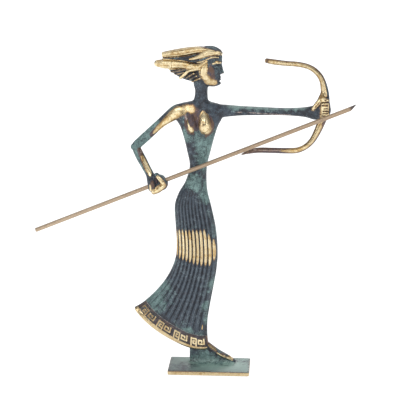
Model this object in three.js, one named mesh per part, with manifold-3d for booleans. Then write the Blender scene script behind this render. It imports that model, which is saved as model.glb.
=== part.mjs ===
// Cast brass statuette of Artemis: a slender robed archer, her bow and a thin plate cast in one piece,
// with a separate brass rod, the arrow, pushed through her closed right hand.
// Millimetres, +Z up, +X towards the bow, -Y towards the viewer. The origin is the centre of the
// plate's underside.

import * as THREE from "three";
import { mergeVertices } from "three/addons/utils/BufferGeometryUtils.js";
import Module from "manifold-3d";

const wasm = await Module();
wasm.setup();

// Driving dimensions
const plateLength = 55;
const plateDepth = 30;
const plateThickness = 3;
const plateBevel = 0.6;
const figureY = 5;
const footY = 6;
const handY = -4;
const pleatCount = 10;
const pleatDepth = 0.8;
// Across the robe, as fractions of its width: the first groove, the pleats' width and its growth.
const firstGroove = 0.054;
const firstPleat = 0.08;
const pleatGrowth = 0.0013;
// Where a pleat's flat crest begins, as a fraction of the pleat.
const crestStart = 0.28;
const rodRadius = 1.4;
const rodClearance = 0.3;
const rodStart = new THREE.Vector3(-116.6, handY, 96.6);
const rodEnd = new THREE.Vector3(95.8, handY, 182.7);
const rodTipLength = 4.8;

// Outline of robe, torso and neck, from the hem up:
// left x, left z, right x, right z, half depth, sag of the ring's middle, pleat strength.
const bodyStations = [
  [-51.8, 40.9, -0.6, 13.0, 7.4, 6.2, 0],
  [-45.5, 45.0, -1.7, 24.0, 7.4, 4.8, 0.5],
  [-37.7, 52.2, -1.5, 34.0, 7.5, 3.5, 1],
  [-30.9, 60.4, 0.1, 44.4, 7.7, 2.5, 1],
  [-25.7, 69.7, 2.4, 57.0, 8.0, 1.6, 1],
  [-22.8, 79.2, 4.5, 69.5, 8.3, 1.0, 1],
  [-22.3, 88.9, 5.2, 81.0, 8.5, 0.5, 1],
  [-23.0, 101.1, 4.0, 97.0, 8.4, 0.2, 1],
  [-23.5, 113.5, 0.8, 112.5, 7.8, 0, 0.8],
  [-20.9, 121.8, -1.5, 121.9, 6.8, 0, 0.4],
  [-16.3, 130.0, -2.3, 130.1, 5.8, 0, 0],
  [-13.6, 140.3, -2.0, 140.4, 5.2, 0, 0],
  [-15.3, 150.4, 0.4, 150.6, 5.5, 0, 0],
  [-17.2, 158.5, 2.5, 158.7, 6.0, 0, 0],
  [-19.7, 166.6, 5.0, 166.8, 6.5, 0, 0],
  [-22.3, 171.0, 7.3, 171.2, 6.6, 0, 0],
  [-22.6, 175.2, 8.6, 175.4, 6.2, 0, 0],
  [-21.8, 179.0, 8.6, 179.2, 5.4, 0, 0],
  [-19.0, 181.6, 6.3, 181.8, 4.8, 0, 0],
  [-14.6, 182.8, 1.7, 182.9, 4.4, 0, 0],
  [-11.6, 184.1, -1.0, 184.2, 4.2, 0, 0],
  [-10.4, 186.4, -1.6, 186.5, 4.1, 0, 0],
  [-10.0, 191.0, -1.7, 191.1, 4.1, 0, 0],
  [-11.4, 196.5, -1.2, 195.5, 4.2, 0, 0],
];
const bodySquareness = 2.4;
const waistStation = 10;
const robeRingCount = 16;

// Limbs, bow and locks of hair, each a path of x, y, z, half width, half depth.
const rightUpperArm = [
  [-16.0, 5, 176.8, 4.7, 4.6],
  [-21.3, 5, 176.2, 4.7, 4.2],
  [-26.8, 5, 173.1, 3.9, 3.6],
  [-33.0, 5, 168.5, 3.1, 3.0],
  [-41.8, 5, 160.3, 3.1, 2.8],
  [-47.9, 5, 154.6, 3.1, 2.7],
  [-52.0, 5, 152.1, 1.8, 2.2],
];
const rightForearm = [
  [-49.4, 5.0, 152.0, 2.8, 2.6],
  [-46.4, 3.0, 146.5, 3.0, 2.6],
  [-44.0, 1.0, 142.8, 2.9, 2.5],
  [-41.7, -1.5, 139.3, 2.7, 2.4],
  [-39.4, -3.5, 135.6, 2.7, 2.6],
  [-38.4, -4.0, 131.3, 2.9, 3.4],
  [-37.9, -4.0, 126.6, 2.7, 3.4],
];
const rightPalm = [
  [-37.2, -3.4, 133.6, 2.2, 3.0],
  [-34.4, -3.4, 131.0, 4.4, 4.6],
  [-32.4, -3.4, 129.2, 4.2, 4.4],
];
const rightFingers = [
  [-34.9, -7.0, 136.5, 1.5, 1.6],
  [-31.4, -7.6, 133.6, 1.7, 2.0],
  [-28.9, -7.4, 130.2, 1.9, 2.2],
  [-31.8, -7.8, 127.6, 1.8, 2.0],
  [-36.2, -7.4, 124.7, 1.7, 1.8],
];
const rightThumb = [
  [-38.0, -6.4, 132.6, 1.5, 1.6],
  [-36.9, -8.0, 130.2, 1.6, 1.5],
  [-36.4, -8.0, 128.0, 1.3, 1.3],
];
const leftArm = [
  [3.0, 5, 176.9, 4.9, 4.6],
  [9.5, 5, 177.4, 4.2, 4.2],
  [20.0, 5, 177.6, 3.2, 3.4],
  [33.0, 5, 177.5, 2.75, 3.0],
  [46.3, 5, 177.3, 2.45, 2.8],
  [56.0, 5, 177.2, 2.7, 2.9],
  [63.0, 5, 177.1, 3.4, 3.1],
  [68.5, 5, 176.9, 4.7, 3.6],
  [72.5, 5, 177.4, 4.8, 3.8],
];
const leftHand = [
  [70.5, 4.4, 177.8, 4.8, 4.0],
  [74.0, 4.4, 178.2, 5.4, 4.6],
  [75.9, 4.4, 178.4, 4.6, 3.8],
];
const leftThumb = [
  [67.9, 1.6, 180.4, 0.9, 1.1],
  [70.9, 1.2, 184.6, 1.1, 1.2],
  [74.0, 2.6, 189.0, 1.1, 1.2],
];
const bow = [
  [36.6, 5, 210.9, 1.2, 1.3],
  [41.7, 5, 210.0, 1.8, 1.7],
  [50.0, 5, 209.1, 1.7, 1.8],
  [56.5, 5, 208.7, 1.7, 1.8],
  [62.8, 5, 207.5, 1.7, 1.8],
  [67.6, 5, 205.2, 1.75, 1.9],
  [71.3, 5, 201.6, 1.85, 2.0],
  [73.6, 5, 197.3, 2.0, 2.1],
  [75.0, 5, 190.8, 2.7, 2.3],
  [75.5, 5, 183.6, 3.0, 2.5],
  [75.0, 5, 175.5, 2.6, 2.5],
  [72.8, 5, 169.4, 2.6, 2.4],
  [70.1, 5, 163.0, 2.3, 2.2],
  [67.1, 5, 157.8, 2.0, 2.0],
  [63.0, 5, 153.9, 1.85, 1.9],
  [57.5, 5, 151.5, 1.9, 1.8],
  [50.5, 5, 151.1, 1.9, 1.8],
  [41.3, 5, 151.2, 1.8, 1.7],
  [32.1, 5, 151.2, 1.8, 1.5],
  [25.3, 5, 149.9, 1.3, 1.0],
  [21.0, 5, 148.2, 0.4, 0.5],
];
const hairLocks = [
  // upper lock, blunt at the back
  [
    [0.0, 5, 218.0, 1.8, 4.6],
    [-6.7, 5, 217.5, 2.3, 5.2],
    [-13.3, 5, 216.1, 2.8, 4.8],
    [-19.9, 5, 215.0, 2.6, 4.2],
    [-25.5, 5, 214.3, 2.0, 3.6],
    [-31.4, 5, 213.7, 1.6, 2.8],
  ],
  // lower lock, swelling to a rounded tip
  [
    [-3.0, 5, 204.0, 2.4, 6.2],
    [-10.0, 5, 205.9, 2.4, 6.0],
    [-15.3, 5, 207.4, 2.2, 5.4],
    [-20.5, 5, 208.1, 2.1, 4.8],
    [-25.5, 5, 208.0, 2.7, 4.6],
    [-30.2, 5, 207.8, 2.9, 4.2],
    [-34.8, 5, 207.9, 2.2, 3.2],
  ],
  // the web of hair between and under the locks
  [
    [-4.0, 5, 211.5, 5.0, 5.4],
    [-12.0, 5, 211.5, 4.0, 4.6],
    [-20.0, 5, 211.3, 2.4, 3.4],
    [-27.0, 5, 211.0, 1.6, 2.6],
  ],
  [
    [-6.0, 5, 200.0, 4.0, 5.0],
    [-11.0, 5, 201.0, 3.8, 4.4],
    [-16.0, 5, 201.8, 4.2, 3.6],
    [-21.2, 5, 202.9, 2.9, 2.8],
  ],
  // tufts of the fringe
  [
    [-12.0, 5, 203.6, 1.4, 4.2],
    [-19.0, 5, 203.6, 1.2, 3.6],
    [-25.8, 5, 203.7, 1.2, 2.0],
  ],
  [
    [-9.0, 5, 201.6, 1.6, 4.6],
    [-14.5, 5, 200.2, 1.4, 3.8],
    [-20.4, 5, 198.6, 0.8, 2.2],
  ],
  [
    [-7.0, 5, 197.6, 2.0, 4.6],
    [-10.8, 5, 196.4, 1.9, 3.8],
    [-14.2, 5, 196.2, 1.0, 2.2],
  ],
];
// Locks laid on each side of the head, given as distances from the figure's middle plane.
const sideLocks = [
  // from the forehead back
  [
    [6.8, 4.0, 216.2, 1.0, 0.9],
    [2.0, 5.0, 217.0, 1.4, 1.1],
    [-2.5, 5.4, 215.8, 1.5, 1.2],
    [-8.0, 5.0, 213.6, 1.4, 1.2],
    [-14.6, 4.0, 211.8, 0.7, 0.9],
  ],
  // the branch that falls from the lower lock
  [
    [-8.6, 5.0, 205.0, 1.2, 1.0],
    [-14.2, 4.8, 203.2, 1.3, 1.1],
    [-17.0, 4.2, 200.8, 1.1, 1.0],
    [-19.2, 3.0, 198.9, 0.8, 0.8],
  ],
];

// Head sections from the jaw up: z, back x, front x, half width.
const headStations = [
  [194.4, -5.2, 5.4, 2.9],
  [196.5, -7.0, 6.9, 4.1],
  [199.5, -8.2, 7.2, 4.9],
  [202.5, -9.0, 7.3, 5.4],
  [206.8, -9.8, 7.2, 6.0],
  [209.4, -9.9, 8.0, 6.2],
  [213.0, -9.6, 8.2, 6.1],
  [216.4, -8.6, 7.9, 5.4],
  [218.6, -6.4, 5.2, 4.0],
  [219.6, -3.6, 3.0, 2.2],
];
const faceTaper = 0.2;
const jawBase = 193.9;
const crownTop = 220;
const nose = [
  [6.9, 5, 209.0, 0.9, 0.8],
  [7.9, 5, 206.0, 1.0, 0.9],
  [8.7, 5, 203.3, 1.2, 1.3],
  [8.0, 5, 202.0, 1.0, 1.5],
];
const headSwellings = [
  // lips, chin, then a cheek and a brow on each side: centre and radii
  { at: [7.0, 5, 199.0], radii: [1.1, 2.0, 0.9] },
  { at: [5.9, 5, 195.7], radii: [1.8, 2.1, 1.5] },
  { at: [4.6, 2.2, 203.6], radii: [2.2, 1.8, 1.8] },
  { at: [4.6, 7.8, 203.6], radii: [2.2, 1.8, 1.8] },
  { at: [6.6, 2.6, 209.4], radii: [1.4, 2.2, 0.7] },
  { at: [6.6, 7.4, 209.4], radii: [1.4, 2.2, 0.7] },
];
const breasts = [
  { at: [-12.0, -0.4, 167.6], radii: [4.4, 3.6, 5.0] },
  { at: [-3.6, -0.6, 169.0], radii: [4.8, 4.2, 6.4] },
];

// Foot and the wedge under its raised heel: x, height above the origin, half width.
const footStations = [
  [-13.7, 19.0, 2.4],
  [-9.0, 19.0, 3.2],
  [-3.0, 18.6, 3.4],
  [-0.4, 17.6, 3.5],
  [2.6, 13.8, 3.6],
  [7.0, 10.7, 3.7],
  [11.2, 8.5, 3.6],
  [15.0, 6.5, 3.1],
  [18.0, 5.0, 2.1],
];
const toeTip = 18.9;
const heelBack = -14.1;

// How a limb's end rounds off: one smaller ring, then a point, in half widths past the end.
const endRing = { scale: 0.7, shift: 0.6 };
const endPoint = 0.95;

const brass = { color: 0x4a6f6a, roughness: 0.45, metalness: 0.85 };
const rodBrass = { color: 0xa98a6a, roughness: 0.4, metalness: 0.9 };

// A smooth track through equally spaced rows of numbers.
function track(rows) {
  const size = rows[0].length;
  const places = rows.map((row, index) => index);
  const curve = new THREE.CubicInterpolant(places, rows.flat(), size, new Float64Array(size));
  return (place) => Array.from(curve.evaluate(place));
}

// Any closed geometry as a solid: shared vertices merged, slivers dropped, faces turned outward.
function solidOf(geometry) {
  const bare = geometry.clone();
  bare.deleteAttribute("normal");
  bare.deleteAttribute("uv");
  const merged = mergeVertices(bare, 1e-4);
  const points = merged.getAttribute("position");
  const corners = merged.index.array;
  const triangles = [];
  const [a, b, c] = [new THREE.Vector3(), new THREE.Vector3(), new THREE.Vector3()];
  let volume = 0;
  for (let k = 0; k < corners.length; k += 3) {
    const [i, j, l] = [corners[k], corners[k + 1], corners[k + 2]];
    if (i !== j && j !== l && l !== i) {
      a.fromBufferAttribute(points, i);
      b.fromBufferAttribute(points, j);
      c.fromBufferAttribute(points, l);
      volume += a.dot(b.cross(c));
      triangles.push(i, j, l);
    }
  }
  if (volume < 0) {
    triangles.reverse();
  }
  const mesh = new wasm.Mesh({
    numProp: 3,
    vertProperties: new Float32Array(points.array),
    triVerts: new Uint32Array(triangles),
  });
  return new wasm.Manifold(mesh);
}

function geometryOf(solid) {
  const mesh = solid.getMesh();
  const geometry = new THREE.BufferGeometry();
  geometry.setAttribute("position", new THREE.BufferAttribute(mesh.vertProperties, 3));
  geometry.setIndex(new THREE.BufferAttribute(mesh.triVerts, 1));
  geometry.computeVertexNormals();
  return geometry;
}

function solidFromPoints(points, triangles) {
  const geometry = new THREE.BufferGeometry().setFromPoints(points);
  geometry.setIndex(triangles);
  return solidOf(geometry);
}

// The band of triangles between neighbouring rings of equal length.
function bandTriangles(ringCount, sides) {
  const triangles = [];
  for (let ring = 0; ring < ringCount - 1; ring++) {
    for (let side = 0; side < sides; side++) {
      const here = ring * sides + side;
      const next = ring * sides + ((side + 1) % sides);
      triangles.push(here, next, next + sides, here, next + sides, here + sides);
    }
  }
  return triangles;
}

// Rings closed at both ends by fans to a point.
function fannedLoft(rings, startApex, endApex) {
  const sides = rings[0].length;
  const triangles = bandTriangles(rings.length, sides);
  const lastRing = (rings.length - 1) * sides;
  const apex = rings.length * sides;
  for (let side = 0; side < sides; side++) {
    const next = (side + 1) % sides;
    triangles.push(apex, next, side, apex + 1, lastRing + side, lastRing + next);
  }
  return solidFromPoints([...rings.flat(), startApex, endApex], triangles);
}

// One ring joined to the next, which repeats only some of its points: keptAt lists where they are.
function thinningTriangles(firstHere, sides, firstNext, keptAt) {
  const triangles = [];
  keptAt.forEach((start, slot) => {
    const end = slot + 1 < keptAt.length ? keptAt[slot + 1] : sides;
    const middle = Math.floor((start + end) / 2);
    const [near, far] = [firstNext + slot, firstNext + ((slot + 1) % keptAt.length)];
    for (let side = start; side < end; side++) {
      triangles.push(firstHere + side, firstHere + ((side + 1) % sides), side < middle ? near : far);
    }
    triangles.push(firstHere + (middle % sides), far, near);
  });
  return triangles;
}

// The end of a ring whose front and back halves mirror each other, closed by strips from front to back.
function stripTriangles(first, sides) {
  const triangles = [];
  for (let side = 0; side < sides / 2; side++) {
    const front = [first + side, first + side + 1];
    const back = [first + ((sides - side) % sides), first + sides - side - 1];
    triangles.push(front[0], back[1], front[1], front[0], back[0], back[1]);
  }
  return triangles;
}

// A limb along a path of x, y, z, half width, half depth, with rounded ends.
// The width lies in the plane of the figure; a squareness of 2 gives an ellipse, less a ridge.
function limb(path, sides, stepsPerSpan, squareness = 2) {
  const at = track(path);
  const last = path.length - 1;
  const place = (row) => new THREE.Vector3(row[0], row[1], row[2]);
  const frameAt = (s) => {
    const ahead = place(at(Math.min(s + 0.02, last)));
    const behind = place(at(Math.max(s - 0.02, 0)));
    const along = ahead.sub(behind).normalize();
    const across = new THREE.Vector3(-along.z, 0, along.x).normalize();
    const deep = new THREE.Vector3().crossVectors(along, across);
    return { row: at(s), along, across, deep };
  };
  const ringAt = (s, scale, shift) => {
    const { row, along, across, deep } = frameAt(s);
    const centre = place(row).addScaledVector(along, shift * row[3]);
    const ring = [];
    for (let side = 0; side < sides; side++) {
      const turn = (2 * Math.PI * side) / sides;
      const [cos, sin] = [Math.cos(turn), Math.sin(turn)];
      const wide = Math.sign(cos) * Math.abs(cos) ** (2 / squareness) * row[3] * scale;
      const thick = Math.sign(sin) * Math.abs(sin) ** (2 / squareness) * row[4] * scale;
      ring.push(centre.clone().addScaledVector(across, wide).addScaledVector(deep, thick));
    }
    return ring;
  };
  const steps = last * stepsPerSpan;
  const rings = [ringAt(0, endRing.scale, -endRing.shift)];
  for (let step = 0; step <= steps; step++) {
    rings.push(ringAt((step * last) / steps, 1, 0));
  }
  rings.push(ringAt(last, endRing.scale, endRing.shift));
  const [head, tail] = [frameAt(0), frameAt(last)];
  const startApex = place(head.row).addScaledVector(head.along, -endPoint * head.row[3]);
  const endApex = place(tail.row).addScaledVector(tail.along, endPoint * tail.row[3]);
  return fannedLoft(rings, startApex, endApex);
}

function swelling({ at, radii }, across = 10, up = 7) {
  const ball = new THREE.SphereGeometry(1, across, up);
  ball.scale(...radii);
  ball.translate(...at);
  return solidOf(ball);
}

// Where the pleats' grooves and flat crests fall, as fractions of the robe's width from its left edge.
// The pleats widen slowly from left to right. Only the edges and grooves go on up the smooth torso.
function pleatMarks() {
  const grooveAt = (index) => firstGroove + firstPleat * index + pleatGrowth * index * index;
  const marks = [{ across: 0, groove: 0, kept: true }];
  for (let index = 0; index <= pleatCount; index++) {
    const start = grooveAt(index);
    marks.push({ across: start, groove: 1, kept: true });
    if (index < pleatCount) {
      const width = grooveAt(index + 1) - start;
      marks.push({ across: start + crestStart * width, groove: 0, kept: false });
      marks.push({ across: start + (1 - crestStart) * width, groove: 0, kept: false });
    }
  }
  marks.push({ across: 1, groove: 0, kept: true });
  return marks;
}

// Robe, torso and neck: one skin through the body stations, pleated front and back up to the waist.
function robedBody() {
  const at = track(bodyStations);
  const front = pleatMarks().map((mark) => ({ ...mark, side: -1 }));
  const back = front.slice(1, -1).reverse().map((mark) => ({ ...mark, side: 1 }));
  const marks = [...front, ...back];
  const kept = marks.filter((mark) => mark.kept);
  const ringAt = (place, among) => {
    const [leftX, leftZ, rightX, rightZ, depth, sag, pleat] = at(place);
    return among.map(({ across, groove, side }) => {
      const off = Math.abs(2 * across - 1);
      const swell = Math.max(0, 1 - off ** bodySquareness) ** (1 / bodySquareness);
      const half = Math.max(0, depth * swell - groove * pleat * pleatDepth);
      const x = leftX + (rightX - leftX) * across;
      const z = leftZ + (rightZ - leftZ) * across - sag * (1 - off ** bodySquareness);
      return new THREE.Vector3(x, figureY + side * half, z);
    });
  };
  const robeRings = [];
  for (let ring = 0; ring < robeRingCount; ring++) {
    robeRings.push(ringAt((ring * waistStation) / (robeRingCount - 1), marks));
  }
  const torsoRings = [];
  for (let place = waistStation + 1; place < bodyStations.length; place++) {
    torsoRings.push(ringAt(place, kept));
  }
  const robeTop = (robeRings.length - 1) * marks.length;
  const torsoStart = robeTop + marks.length;
  const keptAt = marks.flatMap((mark, index) => (mark.kept ? [index] : []));
  const torsoTop = torsoStart + (torsoRings.length - 1) * kept.length;
  const triangles = [
    ...stripTriangles(0, marks.length),
    ...bandTriangles(robeRings.length, marks.length),
    ...thinningTriangles(robeTop, marks.length, torsoStart, keptAt),
    ...bandTriangles(torsoRings.length, kept.length).map((corner) => corner + torsoStart),
    ...stripTriangles(torsoTop, kept.length).reverse(),
  ];
  return solidFromPoints([...robeRings.flat(), ...torsoRings.flat()], triangles);
}

// Skull, jaw and face: level egg-shaped rings, narrower at the face.
function head() {
  const sides = 16;
  const at = track(headStations);
  const rings = [];
  const lastStation = headStations.length - 1;
  const steps = 13;
  for (let step = 0; step <= steps; step++) {
    const [z, back, front, half] = at((step * lastStation) / steps);
    const ring = [];
    for (let side = 0; side < sides; side++) {
      const turn = (2 * Math.PI * side) / sides;
      const x = (back + front) / 2 + ((front - back) / 2) * Math.cos(turn);
      const y = figureY + half * Math.sin(turn) * (1 - faceTaper * Math.cos(turn));
      ring.push(new THREE.Vector3(x, y, z));
    }
    rings.push(ring);
  }
  const skull = fannedLoft(
    rings,
    new THREE.Vector3(1, figureY, jawBase),
    new THREE.Vector3(0, figureY, crownTop),
  );
  const face = [limb(nose, 6, 1), ...headSwellings.map((shape) => swelling(shape, 8, 6))];
  return face.reduce((whole, piece) => whole.add(piece), skull);
}

function hair() {
  const locks = hairLocks.map((path) => limb(path, 8, 1));
  for (const side of [-1, 1]) {
    for (const path of sideLocks) {
      const placed = path.map(([x, off, z, half, deep]) => [x, figureY + side * off, z, half, deep]);
      locks.push(limb(placed, 8, 1));
    }
  }
  return locks.reduce((whole, piece) => whole.add(piece));
}

function rightArmAndHand() {
  const palm = limb(rightPalm, 10, 1, 2.6);
  const fingers = limb(rightFingers, 8, 1);
  const thumb = limb(rightThumb, 8, 1);
  const arm = limb(rightUpperArm, 10, 1).add(limb(rightForearm, 10, 1));
  return arm.add(palm).add(fingers).add(thumb);
}

// Four fingers closed round the bow's grip, one above another.
function leftFingers() {
  const topFinger = 182.4;
  const pitch = 2.3;
  const fingers = [];
  for (let finger = 0; finger < 4; finger++) {
    const z = topFinger - finger * pitch;
    const path = [
      [73.2, 0.8, z, 0.9, 1.0],
      [75.8, 0.2, z, 1.1, 1.1],
      [77.6, 1.4, z, 1.1, 1.1],
      [78.2, 4.0, z, 1.1, 1.1],
    ];
    fingers.push(limb(path, 6, 1));
  }
  return fingers.reduce((whole, piece) => whole.add(piece));
}

function leftArmAndHand() {
  return limb(leftArm, 10, 1).add(limb(leftHand, 10, 1, 2.6)).add(limb(leftThumb, 8, 1)).add(leftFingers());
}

// The foot on tiptoe, solid down to the plate under heel and instep. Each section is flared at the
// plate, upright at the side and rounded over the top.
function foot() {
  const at = track(footStations);
  const sunk = plateThickness - 0.5;
  const low = plateThickness + 0.8;
  const profile = [
    { wide: 1, up: 0 },
    { wide: 1, up: 0.45 },
    { wide: 0.62, up: 0.85 },
  ];
  const flare = 1.15;
  const section = (x, top, half) => {
    const sideAt = (side) =>
      profile.map(({ wide, up }) => new THREE.Vector3(x, footY + side * half * wide, low + up * (top - low)));
    const ridge = new THREE.Vector3(x, footY, top);
    const nearEdge = new THREE.Vector3(x, footY - half * flare, sunk);
    const farEdge = new THREE.Vector3(x, footY + half * flare, sunk);
    return [nearEdge, farEdge, ...sideAt(1), ridge, ...sideAt(-1).reverse()];
  };
  const rings = [];
  const steps = 2 * (footStations.length - 1);
  for (let step = 0; step <= steps; step++) {
    rings.push(section(...at(step / 2)));
  }
  const heel = new THREE.Vector3(heelBack, footY, (footStations[0][1] + plateThickness) / 2);
  const toe = new THREE.Vector3(toeTip, footY, low);
  return fannedLoft(rings, heel, toe);
}

function plate() {
  const length = plateLength - 2 * plateBevel;
  const depth = plateDepth - 2 * plateBevel;
  const outline = new THREE.Shape([
    new THREE.Vector2(-length / 2, -depth / 2),
    new THREE.Vector2(length / 2, -depth / 2),
    new THREE.Vector2(length / 2, depth / 2),
    new THREE.Vector2(-length / 2, depth / 2),
  ]);
  const slab = new THREE.ExtrudeGeometry(outline, {
    depth: plateThickness - 2 * plateBevel,
    bevelSize: plateBevel,
    bevelThickness: plateBevel,
    bevelSegments: 2,
  });
  slab.translate(0, 0, plateBevel);
  return solidOf(slab);
}

// A round bar along the arrow's axis, for the arrow itself and for the hole that it passes through.
function bar(radius, sides) {
  const length = rodStart.distanceTo(rodEnd);
  const round = new THREE.CylinderGeometry(radius, radius, length, sides);
  round.rotateZ(-Math.PI / 2);
  return { round, length };
}

function alongArrow(geometry) {
  const slope = Math.atan2(rodEnd.z - rodStart.z, rodEnd.x - rodStart.x);
  const middle = rodStart.clone().add(rodEnd).multiplyScalar(0.5);
  geometry.rotateY(-slope);
  geometry.translate(middle.x, middle.y, middle.z);
  return geometry;
}

// The arrow's far end is cut to a chisel: its lower side rises to the upper one.
function arrow() {
  const { round, length } = bar(rodRadius, 16);
  const wedge = new THREE.Shape([
    new THREE.Vector2(length / 2 - rodTipLength, -rodRadius),
    new THREE.Vector2(length / 2 + 1, -rodRadius - 1),
    new THREE.Vector2(length / 2 + 1, rodRadius),
    new THREE.Vector2(length / 2, rodRadius - 0.2),
  ]);
  const cutter = new THREE.ExtrudeGeometry(wedge, { depth: 6, bevelEnabled: false });
  cutter.translate(0, 0, -3);
  cutter.rotateX(Math.PI / 2);
  return solidOf(alongArrow(round)).subtract(solidOf(alongArrow(cutter)));
}

function castFigure() {
  const pieces = [
    head(),
    hair(),
    rightArmAndHand(),
    leftArmAndHand(),
    limb(bow, 8, 1, 1.7),
    foot(),
    plate(),
    ...breasts.map((shape) => swelling(shape)),
  ];
  const whole = pieces.reduce((sum, piece) => sum.add(piece), robedBody());
  const hole = solidOf(alongArrow(bar(rodRadius + rodClearance, 16).round));
  return whole.subtract(hole);
}

function namedMesh(name, solid, look) {
  const mesh = new THREE.Mesh(geometryOf(solid), new THREE.MeshStandardMaterial(look));
  mesh.name = name;
  return mesh;
}

const statuette = new THREE.Group();
statuette.add(namedMesh("cast_figure", castFigure(), brass));
statuette.add(namedMesh("arrow_rod", arrow(), rodBrass));

export default statuette;
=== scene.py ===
import math

import bmesh
import bpy
import numpy as np
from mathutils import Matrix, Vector


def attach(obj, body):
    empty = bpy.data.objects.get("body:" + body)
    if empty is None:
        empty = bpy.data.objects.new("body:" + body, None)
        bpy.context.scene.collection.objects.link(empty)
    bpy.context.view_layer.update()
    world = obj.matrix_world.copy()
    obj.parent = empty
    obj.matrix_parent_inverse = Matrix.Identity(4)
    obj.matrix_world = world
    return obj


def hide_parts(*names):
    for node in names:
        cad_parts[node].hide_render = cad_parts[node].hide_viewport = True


# A cast brass archer with a separate arrow rod. Shapes are worked out in millimetres and turned into
# metres when their meshes are made. +X is towards the bow, -Y towards the viewer.

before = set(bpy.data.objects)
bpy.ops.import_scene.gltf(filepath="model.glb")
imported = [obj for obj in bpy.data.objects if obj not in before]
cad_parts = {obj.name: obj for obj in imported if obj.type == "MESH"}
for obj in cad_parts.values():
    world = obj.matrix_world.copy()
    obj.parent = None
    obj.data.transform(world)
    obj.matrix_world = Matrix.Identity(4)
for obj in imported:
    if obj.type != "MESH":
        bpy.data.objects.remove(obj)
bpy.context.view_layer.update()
mm = 0.001
figureY = 5.0     # the figure's middle plane
footY = 6.0


# numbers on grids

def track(rows, places):
    # cubic curve through equally spaced rows: Hermite form, slopes from the neighbouring rows
    rows = np.asarray(rows, float)
    slopes = np.gradient(rows, axis=0)
    last = len(rows) - 1
    places = np.clip(np.asarray(places, float), 0, last)
    low = np.minimum(places.astype(int), last - 1)
    t = (places - low)[..., None]
    a, b, slopeA, slopeB = rows[low], rows[low + 1], slopes[low], slopes[low + 1]
    return (a * (2 * t**3 - 3 * t**2 + 1) + b * (3 * t**2 - 2 * t**3)
            + slopeA * (t**3 - 2 * t**2 + t) + slopeB * (t**3 - t**2))


def smooth(value, low, high):
    # 0 below low, 1 above high, 3t^2 - 2t^3 between
    t = np.clip((value - low) / (high - low), 0, 1)
    return t * t * (3 - 2 * t)


def dome(distance, power=1.0):
    # (1 - d^2)^power inside the unit circle, 0 outside
    return np.clip(1 - distance**2, 0, None) ** power


def bell(value, width):
    # exp(-(v / w)^2)
    return np.exp(-((value / width) ** 2))


def turns(count):
    # equal angles once round, as one row
    return np.linspace(0, 2 * math.pi, count, endpoint=False)[None, :]


def signed(wave, power):
    # |w|^power with the sign of w: it squares a circle's cosine and sine into a superellipse
    return np.sign(wave) * np.abs(wave) ** power


def gridOf(x, y, z):
    return np.stack(np.broadcast_arrays(x, y, z), -1)


def capped(points, past=(0, 0, 0)):
    # both ends drawn into the middles of the end rings, the last one moved on by past
    first = np.broadcast_to(points[0].mean(0), points[:1].shape)
    last = np.broadcast_to(points[-1].mean(0) + past, points[:1].shape)
    return np.concatenate([first, points, last])


def normalsOf(points):
    # unit normals of a grid that closes on itself along its second axis
    along = np.gradient(points, axis=0)
    around = (np.roll(points, -1, axis=1) - np.roll(points, 1, axis=1)) / 2
    normals = np.cross(around, along)
    length = np.linalg.norm(normals, axis=2, keepdims=True)
    return normals / np.maximum(length, 1e-9)


def nearSegment(x, y, a, b):
    # share t of the way from a to b, kept within 0 and 1, and the distance to that place
    dx, dy = b[0] - a[0], b[1] - a[1]
    t = np.clip(((x - a[0]) * dx + (y - a[1]) * dy) / (dx * dx + dy * dy), 0, 1)
    return t, np.hypot(x - a[0] - t * dx, y - a[1] - t * dy)


def strokeDistance(x, y, corners):
    # least distance to the line through the corners
    return np.min([nearSegment(x, y, a, b)[1] for a, b in zip(corners[:-1], corners[1:])], axis=0)


def strokeField(x, z, rows):
    # 1 in a stroke's middle, 0.5 at its edge, falling on outside: 1 - d / 2w; rows of x, z, half width
    best = np.zeros(x.shape)
    for a, b in zip(rows[:-1], rows[1:]):
        t, distance = nearSegment(x, z, a, b)
        best = np.maximum(best, 1 - 0.5 * distance / (a[2] + t * (b[2] - a[2])))
    return best


# solids as grids: each returns points[along, around, xyz] with both ends closed

def limb(path, along=90, around=40, squareness=2.0, bulge=1.0, relief=None):
    # a superelliptic section |x/w|^q + |y/d|^q = 1 carried along a path of x, y, z, w, d;
    # the ends round off as scale = sqrt(1 - e^2), e running from the end ring to bulge * w past it
    path = np.asarray(path, float)
    last = len(path) - 1
    capRings = 9
    step = 0.02
    cap = np.sin(np.linspace(0, 1, capRings) * math.pi / 2)
    places = np.concatenate([np.zeros(capRings), np.linspace(0, last, along), np.full(capRings, last)])
    past = np.concatenate([-cap[::-1], np.zeros(along), cap])
    rows = track(path, places)
    direction = track(path, places + step)[:, :3] - track(path, places - step)[:, :3]
    direction /= np.linalg.norm(direction, axis=1, keepdims=True)
    across = np.stack([-direction[:, 2], np.zeros(len(rows)), direction[:, 0]], 1)
    across /= np.linalg.norm(across, axis=1, keepdims=True)
    deep = np.cross(direction, across)
    turn = turns(around)
    scale = np.sqrt(np.clip(1 - past**2, 0, 1))[:, None]
    raised = relief(places[:, None] / last, turn) if relief else 0
    wide = (rows[:, 3:4] + raised) * signed(np.cos(turn), 2 / squareness) * scale
    thick = (rows[:, 4:5] + raised) * signed(np.sin(turn), 2 / squareness) * scale
    centre = rows[:, :3] + direction * (past * rows[:, 3] * bulge)[:, None]
    return centre[:, None] + wide[..., None] * across[:, None] + thick[..., None] * deep[:, None]


# robe, torso and neck

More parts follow.
